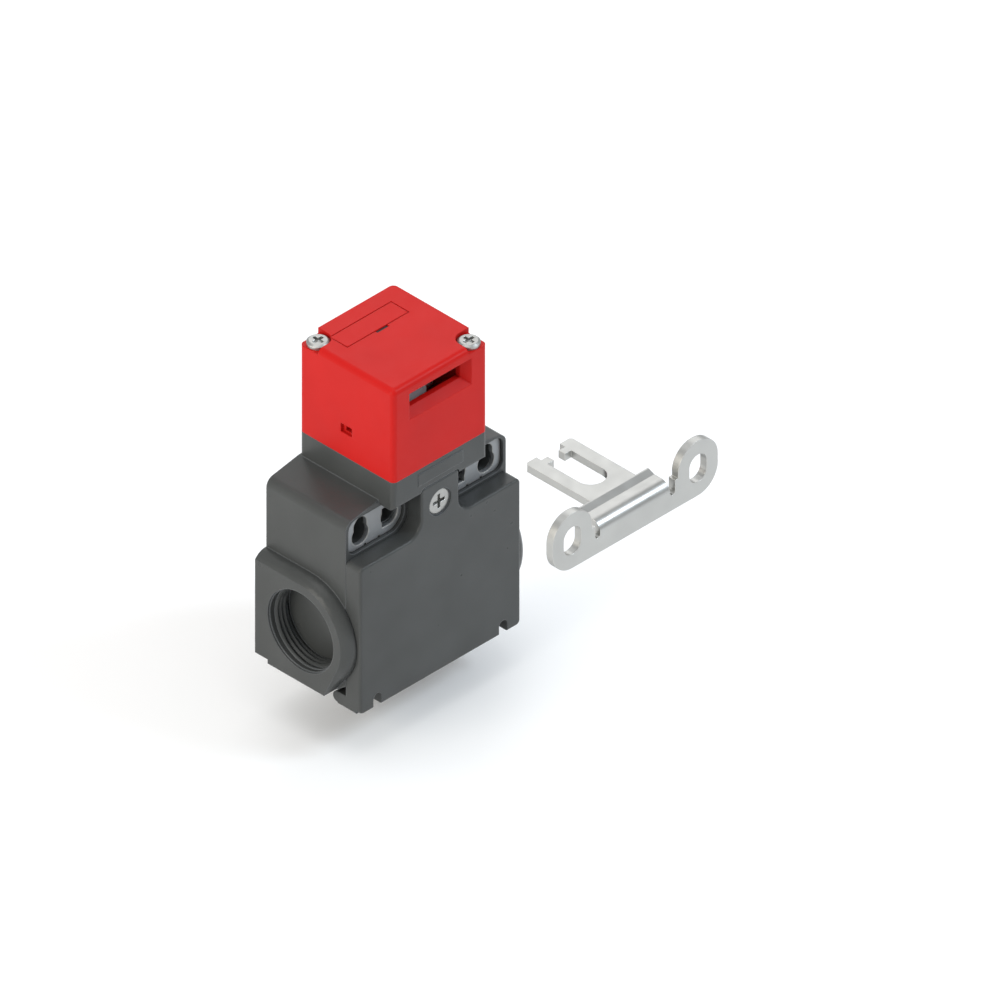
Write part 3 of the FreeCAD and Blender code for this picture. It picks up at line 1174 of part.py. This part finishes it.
def make_bridges():
    """Two moving strips: the upper one touches upwards, the lower one downwards."""
    bridges = []
    for height, upper in (("bridge_high", True), ("bridge_low", False)):
        strip = box("BridgeStrip", "-bridge_half", "-(rotor_back + bridge_width / 2)",
                    height + " - bridge_thick / 2", "2 * bridge_half", "bridge_width",
                    "bridge_thick")
        pads = []
        for side in (1, -1):
            low = height + " + bridge_thick / 2" if upper else \
                height + " - bridge_thick / 2 - pad_height"
            pads.append(rod("BridgePad", "pad_spacing * %d" % side, "-rotor_back", low,
                            "pad_radius", "pad_height"))
        bridges.append(join("Bridge", strip, *pads))
    return group("BridgePair", *bridges)


def make_carriage_spring():
    seat = size("block_low") + size("ledge_thick")
    wire = size("carriage_spring_wire")
    room = size("carriage_low") - seat - 2 * wire - size("contact_gap")
    spring = coil("CarriageSpring", size("carriage_spring_radius"), wire,
                  room / size("carriage_spring_turns"), size("carriage_spring_turns"))
    return place(spring, "0", "-rotor_back",
                 "block_low + ledge_thick + carriage_spring_wire + contact_gap / 2")


# ---------------------------------------------------------------- the nodes

BUILDERS = {
    "housing": make_housing,
    "fixing_plate_right": lambda: make_fixing_plate(1, "Right"),
    "fixing_plate_left": lambda: make_fixing_plate(-1, "Left"),
    "cover": make_cover,
    "cover_hinge_pins": make_hinge_pins,
    "cover_gasket": make_gasket,
    "cover_screw": make_cover_screw,
    "cover_screw_retainer": lambda: make_washer(
        "Retainer", "-(body_depth + seat_gap / 3 + retainer_thick)", "retainer_radius",
        "screw_radius", "retainer_thick"),
    "cover_screw_insert": lambda: make_washer(
        "Insert", "-body_depth", "insert_radius", "screw_radius + screw_swing_gap",
        "insert_length"),
    "head_shell": make_head_shell,
    "head_screws": make_head_screws,
    "head_base": make_head_base,
    "blanking_plug": make_blanking_plug,
    "rotor_axle": make_axle,
    "rotor": make_rotor,
    "rotor_springs": make_rotor_springs,
    "lock_slide": make_lock_slide,
    "lock_slide_springs": make_slide_springs,
    "plunger": make_plunger,
    "plunger_spring": make_plunger_spring,
    "plunger_seal": make_seal,
    "contact_base": make_contact_base,
    "fixed_contacts": make_fixed_contacts,
    "terminal_clamps": make_terminal_clamps,
    "terminal_screws": make_terminal_screws,
    "contact_block_screws": make_block_screws,
    "contact_carriage": make_carriage,
    "moving_contacts": make_bridges,
    "carriage_spring": make_carriage_spring,
    "earth_screw": make_earth_screw,
    "actuator_key": make_key,
}

for label, build in BUILDERS.items():
    node(build(), label)
doc.recompute()

for item in doc.Objects:
    for trouble in ("Invalid", "Error"):
        if trouble in item.State:
            raise RuntimeError("%s is %s" % (item.Name, trouble))
for item in NODES:
    if item.Shape.isNull() or not item.Shape.isValid() or not item.Shape.Solids:
        raise RuntimeError("%s has no sound shape" % item.Label)

os.makedirs("parts", exist_ok=True)
for item in NODES:
    item.Shape.exportStep("parts/%s.step" % item.Label)
print("%d nodes written" % len(NODES))
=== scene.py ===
"""The looks of a tongue interlock switch: a grey moulded case, a red head and a bent steel key."""

import json
import math

import bmesh
import bpy
import numpy as np
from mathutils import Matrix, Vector


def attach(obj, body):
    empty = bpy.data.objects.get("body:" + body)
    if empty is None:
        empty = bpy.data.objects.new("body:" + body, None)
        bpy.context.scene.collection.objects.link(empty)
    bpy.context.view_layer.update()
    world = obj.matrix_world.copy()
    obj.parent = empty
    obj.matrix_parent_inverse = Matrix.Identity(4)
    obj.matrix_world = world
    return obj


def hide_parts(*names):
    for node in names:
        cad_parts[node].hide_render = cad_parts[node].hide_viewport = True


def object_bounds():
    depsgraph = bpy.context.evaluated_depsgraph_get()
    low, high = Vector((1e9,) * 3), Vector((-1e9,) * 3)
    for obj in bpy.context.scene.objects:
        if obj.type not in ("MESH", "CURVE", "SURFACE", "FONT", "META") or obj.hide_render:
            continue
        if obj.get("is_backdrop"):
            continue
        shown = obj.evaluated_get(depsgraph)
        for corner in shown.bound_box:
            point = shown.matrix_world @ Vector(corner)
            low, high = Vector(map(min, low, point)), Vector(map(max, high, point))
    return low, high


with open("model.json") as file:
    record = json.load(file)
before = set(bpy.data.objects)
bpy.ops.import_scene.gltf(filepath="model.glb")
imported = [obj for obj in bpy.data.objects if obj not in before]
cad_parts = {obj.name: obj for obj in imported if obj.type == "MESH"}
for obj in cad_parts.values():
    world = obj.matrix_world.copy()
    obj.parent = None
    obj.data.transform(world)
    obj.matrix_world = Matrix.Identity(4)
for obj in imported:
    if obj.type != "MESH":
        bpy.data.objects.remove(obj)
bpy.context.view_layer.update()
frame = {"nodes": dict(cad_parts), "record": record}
MM = 0.001

# ---------------------------------------------------------------- finishes


def link(tree, source, socket, node, target):
    """Joins one node's output to another node's input."""
    tree.links.new(source.outputs[socket], node.inputs[target])


def object_position(tree, stretch=(1, 1, 1)):
    """The point on the piece itself, with each axis multiplied by a stretch."""
    place = tree.nodes.new("ShaderNodeTexCoord")
    mapping = tree.nodes.new("ShaderNodeMapping")
    mapping.inputs["Scale"].default_value = stretch
    link(tree, place, "Object", mapping, "Vector")
    return mapping


def noise(tree, position, scale):
    """Soft random patches, so many to the metre."""
    grain = tree.nodes.new("ShaderNodeTexNoise")
    grain.inputs["Scale"].default_value = scale
    grain.inputs["Detail"].default_value = 1.0
    grain.inputs["Roughness"].default_value = 0.55
    link(tree, position, "Vector", grain, "Vector")
    return grain


def spread(tree, source, socket, low, high, start=0.0, end=1.0):
    """A number that runs from low to high as the source runs from start to end."""
    ramp = tree.nodes.new("ShaderNodeMapRange")
    for name, value in (("From Min", start), ("From Max", end), ("To Min", low), ("To Max", high)):
        ramp.inputs[name].default_value = value
    link(tree, source, socket, ramp, "Value")
    return ramp


def edge_mask(tree, radius):
    """One along the corners of a piece and nought on its flats: how far a rounded normal leans."""
    rounded = tree.nodes.new("ShaderNodeBevel")
    rounded.samples = 6
    rounded.inputs["Radius"].default_value = radius
    flat = tree.nodes.new("ShaderNodeNewGeometry")
    lean = tree.nodes.new("ShaderNodeVectorMath")
    lean.operation = "DOT_PRODUCT"
    link(tree, rounded, "Normal", lean, 0)
    link(tree, flat, "Normal", lean, 1)
    return spread(tree, lean, "Value", 1.0, 0.0, 0.8, 0.99), rounded


def mix_colours(tree, factor, socket, first, second):
    """The first colour where the factor is nought and the second where it is one.

    In Blender's Mix node the colours are inputs 6 and 7 and the result is output 2.
    """
    blend = tree.nodes.new("ShaderNodeMix")
    blend.data_type = "RGBA"
    for index, colour in ((6, first), (7, second)):
        if isinstance(colour, tuple):
            blend.inputs[index].default_value = (*colour, 1)
        else:
            tree.links.new(colour, blend.inputs[index])
    tree.links.new(factor.outputs[socket], blend.inputs[0])
    return blend.outputs[2]


def finish(name, colour, rough, grain, depth, metal=0.0, gloss=0.5, stretch=(1, 1, 1),
           cloud=0.08, wear_and_highlight=0.25, edge=0.25, wear_and_highlight_tone=None):
    """A surface with fine grain in relief, soft clouds in tone and gloss, and edges lightened by
    wear and a painted highlight.

    Edge and depth are in millimetres, and grain is in patches to the metre.
    """
    cloud_scale, patch_scale = 90.0, 320.0
    tone_swing, rough_swing = 2.5 * cloud, 0.25
    material = bpy.data.materials.new(name)
    material.use_nodes = True
    tree = material.node_tree
    shader = tree.nodes["Principled BSDF"]
    shader.inputs["Metallic"].default_value = metal
    shader.inputs["Specular IOR Level"].default_value = gloss

    position = object_position(tree, stretch)
    fine = noise(tree, position, grain)
    clouds = noise(tree, object_position(tree), cloud_scale)
    tone = spread(tree, clouds, "Fac", 0.0, 1.0)
    darker = tuple(c * (1 - tone_swing) for c in colour)
    lighter = tuple(min(1.0, c * (1 + tone_swing)) for c in colour)
    base = mix_colours(tree, tone, "Result", darker, lighter)
    # Lighter corners: partly rubbed wear, partly a painted highlight where light would catch the
    # rounded edges.
    mask, rounded = edge_mask(tree, edge * MM)
    rubbed_and_highlit = wear_and_highlight_tone or tuple(min(1.0, c * 1.5 + 0.02) for c in colour)
    wear_and_highlight_amount = tree.nodes.new("ShaderNodeMath")
    wear_and_highlight_amount.operation = "MULTIPLY"
    wear_and_highlight_amount.inputs[1].default_value = wear_and_highlight
    link(tree, mask, "Result", wear_and_highlight_amount, 0)
    worn_and_highlit = mix_colours(tree, wear_and_highlight_amount, "Value", base, rubbed_and_highlit)
    tree.links.new(worn_and_highlit, shader.inputs["Base Color"])

    patches = noise(tree, object_position(tree), patch_scale)
    gloss_map = spread(tree, patches, "Fac", rough * (1 - rough_swing),
                       min(1.0, rough * (1 + rough_swing)))
    link(tree, gloss_map, "Result", shader, "Roughness")
    relief = tree.nodes.new("ShaderNodeBump")
    relief.inputs["Strength"].default_value = 1.0
    relief.inputs["Distance"].default_value = depth * MM
    link(tree, fine, "Fac", relief, "Height")
    link(tree, rounded, "Normal", relief, "Normal")
    link(tree, relief, "Normal", shader, "Normal")
    return material


# Each finish lightens its edges toward its edge tone: partly wear, partly painted highlight, such
# as the bluish line along the grey case's edges and the light rim on the red head.
FINISHES = {
    "case_plastic": finish("moulded_grey", (0.057, 0.060, 0.059), 0.32, 5200.0, 0.0035,
                           gloss=0.26, edge=0.45, wear_and_highlight=0.65, wear_and_highlight_tone=(0.15, 0.16, 0.17)),
    "head_plastic": finish("moulded_red", (0.525, 0.011, 0.009), 0.36, 4800.0, 0.0025, gloss=0.11,
                           cloud=0.03, edge=0.3, wear_and_highlight=0.12, wear_and_highlight_tone=(0.7, 0.03, 0.02)),
    "dark_plastic": finish("moulded_black", (0.012, 0.012, 0.013), 0.5, 4200.0, 0.004),
    "rotor_plastic": finish("acetal_grey", (0.72, 0.76, 0.77), 0.35, 3600.0, 0.002,
                            cloud=0.05),
    "plated_steel": finish("zinc_plated_plate", (0.3, 0.31, 0.32), 0.5, 2600.0, 0.002,
                           metal=0.5, cloud=0.05, edge=0.55, wear_and_highlight=0.9,
                           wear_and_highlight_tone=(0.5, 0.49, 0.45)),
    "screw_steel": finish("bright_screw_steel", (0.4, 0.4, 0.385), 0.36, 2400.0, 0.0015,
                          metal=0.85, cloud=0.04, edge=0.25, wear_and_highlight=0.7,
                          wear_and_highlight_tone=(0.75, 0.75, 0.73)),
    "key_steel": finish("satin_key_steel", (0.45, 0.45, 0.435), 0.36, 900.0, 0.002,
                        metal=1.0, stretch=(0.35, 6.0, 6.0), cloud=0.03, edge=0.2, wear_and_highlight=0.5,
                        wear_and_highlight_tone=(0.76, 0.75, 0.7)),
    "spring_steel": finish("drawn_spring_wire", (0.45, 0.45, 0.44), 0.3, 3000.0, 0.001,
                           metal=1.0, edge=0.05),
    "contact_brass": finish("bright_brass", (0.72, 0.52, 0.24), 0.3, 2600.0, 0.002, metal=1.0,
                            edge=0.1),
    "seal_rubber": finish("black_rubber", (0.012, 0.012, 0.012), 0.7, 2800.0, 0.006,
                          gloss=0.3),
}

slots = {part["node"]: part["material_slot"] for part in frame["record"]["subparts"]}
for node_name, piece in frame["nodes"].items():
    piece.data.materials.clear()
    piece.data.materials.append(FINISHES[slots[node_name]])

# ---------------------------------------------------------------- new pieces


def surface_piece(name, grid, wrap, material, body):
    """A mesh from a grid of points: rows along the first index and columns along the second.

    Each cell of the grid is one face. With wrap, the last column joins the first.
    """
    rows, columns = grid.shape[:2]
    index = np.arange(rows * columns).reshape(rows, columns)
    after = np.roll(index, -1, axis=1)
    quads = np.stack([index[:-1], after[:-1], after[1:], index[1:]], axis=-1)
    if not wrap:
        quads = quads[:, :-1]
    mesh = bpy.data.meshes.new(name)
    mesh.from_pydata(grid.reshape(-1, 3).tolist(), [], quads.reshape(-1, 4).tolist())
    mesh.polygons.foreach_set("use_smooth", np.ones(len(mesh.polygons), dtype=bool))
    mesh.update()
    piece = bpy.data.objects.new(name, mesh)
    bpy.context.scene.collection.objects.link(piece)
    mesh.materials.append(FINISHES[material])
    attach(piece, body)


def prism(name, low_end, high_end):
    """A closed block whose straight sides join a flat outline at one end to one at the other.

    Each end is a list of points of the same length, turning the same way.
    """
    count = len(low_end)
    ring = list(range(count))
    faces = [ring[::-1], [count + k for k in ring]]
    faces += [(k, (k + 1) % count, count + (k + 1) % count, count + k) for k in ring]
    mesh = bpy.data.meshes.new(name)
    mesh.from_pydata([tuple(c * MM for c in point) for point in low_end + high_end], [], faces)
    shape = bmesh.new()
    shape.from_mesh(mesh)
    bmesh.ops.recalc_face_normals(shape, faces=shape.faces)
    shape.to_mesh(mesh)
    shape.free()
    tool = bpy.data.objects.new(name, mesh)
    bpy.context.scene.collection.objects.link(tool)
    return tool


def block(name, x, y, z):
    """A box between two limits on each axis."""
    return prism(name, *[[(x[0], y[0], h), (x[1], y[0], h), (x[1], y[1], h), (x[0], y[1], h)]
                         for h in z])


def read(items, field, width):
    """One field of a mesh's vertices, loops or faces as an array, with so many numbers in a row."""
    kind = np.int32 if field.endswith("_index") or field == "loop_total" else np.float32
    values = np.empty(len(items) * width, dtype=kind)
    items.foreach_get(field, values)
    return values.reshape(-1, width) if width > 1 else values


def settle_normals(mesh):
    """Shading that keeps flats flat and rounds smooth, on a mesh of long triangles.

    A corner's normal is the mean of the faces round its point that lean less than the crease
    angle from its own face, each weighted by the square of the area of the whole flat that the
    face is part of. Faces belong to one flat where they have the same normal and the same
    distance from the origin, once both are rounded to small steps.
    """
    crease = math.cos(math.radians(28))
    lean_steps, distance_step = 400, 0.005 * MM
    lean = read(mesh.polygons, "normal", 3).astype(float)
    area = read(mesh.polygons, "area", 1).astype(float)
    offset = (lean * read(mesh.polygons, "center", 3)).sum(axis=1)
    plane = np.column_stack([np.round(lean * lean_steps), np.round(offset / distance_step)])
    group = np.unique(plane, axis=0, return_inverse=True)[1].reshape(-1)
    weight = np.bincount(group, area)[group] ** 2
    face = np.repeat(np.arange(len(mesh.polygons)), read(mesh.polygons, "loop_total", 1))
    point = read(mesh.loops, "vertex_index", 1)
    order = np.argsort(point, kind="stable")
    count = np.bincount(point)
    start = np.cumsum(count) - count
    many = count[point[order]]
    own = np.repeat(order, many)
    step = np.arange(len(own)) - np.repeat(np.cumsum(many) - many, many)
    other = order[np.repeat(start[point[order]], many) + step]
    near = (lean[face[own]] * lean[face[other]]).sum(axis=1) > crease
    total = np.zeros((len(point), 3))
    np.add.at(total, own[near], (lean * weight[:, None])[face[other[near]]])
    total /= np.linalg.norm(total, axis=1)[:, None] + 1e-30
    mesh.normals_split_custom_set(total.tolist())


def carved_copy(node, name, steps):
    """The piece of a node with blocks joined to it or cut from it, in the order given."""
    merge_distance = 0.001 * MM
    source = frame["nodes"][node]
    shape = bmesh.new()
    shape.from_mesh(source.data)
    bmesh.ops.remove_doubles(shape, verts=shape.verts, dist=merge_distance)
    mesh = bpy.data.meshes.new(name)
    shape.to_mesh(mesh)
    shape.free()
    piece = bpy.data.objects.new(name, mesh)
    bpy.context.scene.collection.objects.link(piece)
    for operation, tool in steps:
        change = piece.modifiers.new(tool.name, "BOOLEAN")
        change.operation = operation
        change.solver = "EXACT"
        change.object = tool
    bpy.context.view_layer.update()
    seen = piece.evaluated_get(bpy.context.evaluated_depsgraph_get())
    carved = bpy.data.meshes.new_from_object(seen)
    piece.modifiers.clear()
    for _, tool in steps:
        bpy.data.objects.remove(tool)
    piece.data = carved
    carved.materials.clear()
    carved.materials.append(FINISHES[slots[node]])
    carved.polygons.foreach_set("use_smooth", np.ones(len(carved.polygons), dtype=bool))
    settle_normals(carved)
    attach(piece, "switch_body")
    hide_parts(node)


HEAD_HALF_WIDTH, HEAD_CORNER = 15.0, 1.3
PRY_SLOT_X, PRY_SLOT_Y = (-1.0, 2.8), (-10.9, -10.0)


def entry_funnel():
    """The mouth for the key: sloped sides run in to a slot, and a thin wall stands behind it."""
    mouth_x, mouth_z = 9.9, (28.4, 35.6)
    slot_x, slot_z = 8.3, (30.05, 33.5)
    filler_x, filler_back, filler_z = 10.4, -25.0, (27.9, 36.1)
    hollow_x, hollow_z = 9.2, (12.0, 34.1)
    front, lip, wall_back, hollow_front = -30.0, -27.8, -26.5, -23.5
    ahead, skin, overlap = 1.0, 0.02, 0.4
    spread_x = (mouth_x - slot_x) / (lip - front)
    drop = (slot_z[0] - mouth_z[0]) / (lip - front)
    rise = (mouth_z[1] - slot_z[1]) / (lip - front)

    def ring(y, x, z):
        return [(-x, y, z[0]), (x, y, z[0]), (x, y, z[1]), (-x, y, z[1])]

    filler = block("entry_filler", (-filler_x, filler_x), (front + skin, filler_back), filler_z)
    funnel = prism("entry_funnel", ring(front - ahead, mouth_x + spread_x * ahead + skin,
                                        (mouth_z[0] - drop * ahead - skin,
                                         mouth_z[1] + rise * ahead + skin)),
                   ring(lip, slot_x, slot_z))
    slot = block("entry_slot", (-slot_x, slot_x), (lip - overlap, hollow_front), slot_z)
    hollow = block("front_hollow", (-hollow_x, hollow_x), (wall_back, hollow_front), hollow_z)
    return [("UNION", filler), ("DIFFERENCE", funnel), ("DIFFERENCE", slot),
            ("DIFFERENCE", hollow)]


def rear_corner(side, turn):
    """Points on the head's rounded rear corner: a quarter circle, at each angle of a turn."""
    return [(side * (HEAD_HALF_WIDTH - HEAD_CORNER + HEAD_CORNER * math.cos(t)),
             -HEAD_CORNER + HEAD_CORNER * math.sin(t)) for t in turn]


def sharp_roof_edges():
    """A bar along the rear and right top edges, which meet at a rounded corner."""
    bar, roof, rear_bar_end, right_bar_end = 1.6, 38.5, -9.0, -24.0
    inside = HEAD_HALF_WIDTH - bar
    arc = rear_corner(1, np.linspace(math.pi / 2, 0.0, 9))
    plan = [(rear_bar_end, -bar), (rear_bar_end, 0.0)] + arc
    plan += [(HEAD_HALF_WIDTH, right_bar_end), (inside, right_bar_end), (inside, -bar)]
    return [("UNION", prism("roof_bars", [(x, y, roof - bar) for x, y in plan],
                            [(x, y, roof) for x, y in plan]))]


def small_openings():
    """The pry slot beside the plug, the seam round the plug, and the deep notch in each side."""
    pry_z = (33.0, 39.0)
    seam_x, seam_y, seam_z = 9.88, (-10.23, -4.37), (37.3, 39.5)
    notch_x, notch_y, notch_z = (11.8, 15.5), (-16.4, -14.2), (19.9, 21.7)
    pry = block("pry_slot", PRY_SLOT_X, PRY_SLOT_Y, pry_z)
    seam = block("plug_seam", (-seam_x, seam_x), seam_y, seam_z)
    notches = [block("side_notch", sorted(side * x for x in notch_x), notch_y, notch_z)
               for side in (-1, 1)]
    return [("DIFFERENCE", tool) for tool in [pry, seam] + notches]


def pry_slot_painted_shadow():
    """A dark block just inside the pry slot's walls, which shuts off the view of the inside: a
    painted shadow for the shade deep in the slot.
    """
    inset, z = 0.05, (37.2, 38.2)
    shadow_block = block("pry_slot_painted_shadow", *[(low_side + inset, high_side - inset)
                                      for low_side, high_side in (PRY_SLOT_X, PRY_SLOT_Y)], z)
    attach(shadow_block, "switch_body")
    # The black plastic finish here is painted shadow, not a part of the switch.
    shadow_block.data.materials.append(FINISHES["dark_plastic"])


def collar_corner(side):
    """The waste outside one rounded rear corner of the collar under the head."""
    collar_z, margin = (6.6, 14.0), 1.0
    outside = HEAD_HALF_WIDTH + margin
    plan = rear_corner(side, np.linspace(0.0, math.pi / 2, 9))
    plan += [(side * (HEAD_HALF_WIDTH - HEAD_CORNER), margin), (side * outside, margin),
             (side * outside, -HEAD_CORNER)]
    return ("DIFFERENCE", prism("collar_corner", *[[(x, y, z) for x, y in plan]
                                                   for z in collar_z]))


def conduit_thread(side, mount):
    """The thread inside one conduit boss.

    A rounded tooth section stands on the bore's wall and is carried along a helix: its place
    round the bore is the turn angle, its place along the bore is the pitch times the turns made,
    and its height eases in and out over the first and last third of a turn.
    """
    pitch, turns, height, start, tooth_share = 1.2, 3.4, 0.7, 22.55, 0.96
    steps_per_turn = 72
    radius = mount["dims"]["r_mm"]
    _, middle_y, middle_z = (place / MM for place in mount["pos_m"])
    angle = np.linspace(0.0, 2 * math.pi * turns, int(turns * steps_per_turn) + 1)
    made = angle / (2 * math.pi)
    ease = np.clip(np.minimum(made, turns - made) * 3.0, 0.0, 1.0)
    across = np.array([-0.5, -0.4, -0.1, 0.1, 0.4, 0.5, 0.5, -0.5]) * pitch * tooth_share
    rise = np.array([0.0, 0.12, 1.0, 1.0, 0.12, 0.0, -0.05, -0.05])
    reach = radius - height * rise[None, :] * ease[:, None]
    along = side * (start + made[:, None] * pitch + across[None, :] + pitch / 2)
    y = middle_y + reach * np.cos(angle)[:, None]
    z = middle_z + reach * np.sin(angle)[:, None] * side
    grid = np.stack([along + 0 * reach, y, z], axis=-1) * MM
    surface_piece("conduit_thread_" + ("right" if side > 0 else "left"), grid, True,
                  "case_plastic", "switch_body")


carved_copy("head_shell", "head_cap", entry_funnel() + sharp_roof_edges() + small_openings())
pry_slot_painted_shadow()
carved_copy("housing", "case_shell", [collar_corner(1), collar_corner(-1)])
mounts = {mount["name"]: mount for mount in frame["record"]["mounts"]}
conduit_thread(1, mounts["conduit_right"])
conduit_thread(-1, mounts["conduit_left"])

# ---------------------------------------------------------------- floor, lights and camera


def floor():
    """A flat pale ground, wide enough to fill the view and low enough for the cover to open."""
    cover_swing = 12 * MM
    size, height = 6.0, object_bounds()[0].z - cover_swing
    corners = [(-size, -size, height), (size, -size, height), (size, size, height),
               (-size, size, height)]
    mesh = bpy.data.meshes.new("floor")
    mesh.from_pydata(corners, [], [(0, 1, 2, 3)])
    piece = bpy.data.objects.new("floor", mesh)
    bpy.context.scene.collection.objects.link(piece)
    material = bpy.data.materials.new("pale_floor")
    material.use_nodes = True
    shader = material.node_tree.nodes["Principled BSDF"]
    shader.inputs["Base Color"].default_value = (0.98, 0.98, 0.98, 1)
    shader.inputs["Roughness"].default_value = 0.9
    shader.inputs["Specular IOR Level"].default_value = 0.1
    mesh.materials.append(material)
    piece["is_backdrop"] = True


def softbox(name, place, size, power, colour=(1, 1, 1)):
    """A square lamp that faces the switch."""
    aim = Vector((0.0, -0.02, 0.0))
    light = bpy.data.lights.new(name, "AREA")
    light.shape = "SQUARE"
    light.size = size
    light.energy = power
    light.color = colour
    lamp = bpy.data.objects.new(name, light)
    lamp.location = place
    lamp.rotation_mode = "QUATERNION"
    lamp.rotation_quaternion = (aim - Vector(place)).to_track_quat("-Z", "Y")
    bpy.context.scene.collection.objects.link(lamp)


def sky():
    """Even light from all round."""
    world = bpy.data.worlds.new("studio")
    bpy.context.scene.world = world
    world.use_nodes = True
    background = world.node_tree.nodes["Background"]
    background.inputs["Color"].default_value = (0.96, 0.98, 1.0, 1)
    background.inputs["Strength"].default_value = 0.58


def camera():
    """A view without perspective, from the left, the front and above in equal parts."""
    view_width, distance = 0.2252, 2.5
    middle = Vector((0.01995, -0.02899, -0.00905))
    back = Vector((-1.0, -1.0, 1.0)).normalized()
    lens = bpy.data.cameras.new("camera")
    lens.type = "ORTHO"
    lens.ortho_scale = view_width
    lens.clip_end = 10.0
    eye = bpy.data.objects.new("camera", lens)
    eye.location = middle + distance * back
    eye.rotation_mode = "QUATERNION"
    eye.rotation_quaternion = (-back).to_track_quat("-Z", "Y")
    bpy.context.scene.collection.objects.link(eye)
    bpy.context.scene.camera = eye
    bpy.context.scene.view_settings.view_transform = "Standard"


floor()
sky()
softbox("left_softbox", (-1.0, 0.1, 0.4), 0.7, 6.2, colour=(1.0, 0.95, 0.86))
softbox("top_softbox", (-0.15, 0.1, 1.1), 0.8, 3.2)
softbox("rear_softbox", (0.8, 0.8, 0.8), 0.9, 3.3)
softbox("edge_softbox", (0.48, -0.62, 0.7), 0.3, 4.0, colour=(0.8, 0.9, 1.0))
camera()
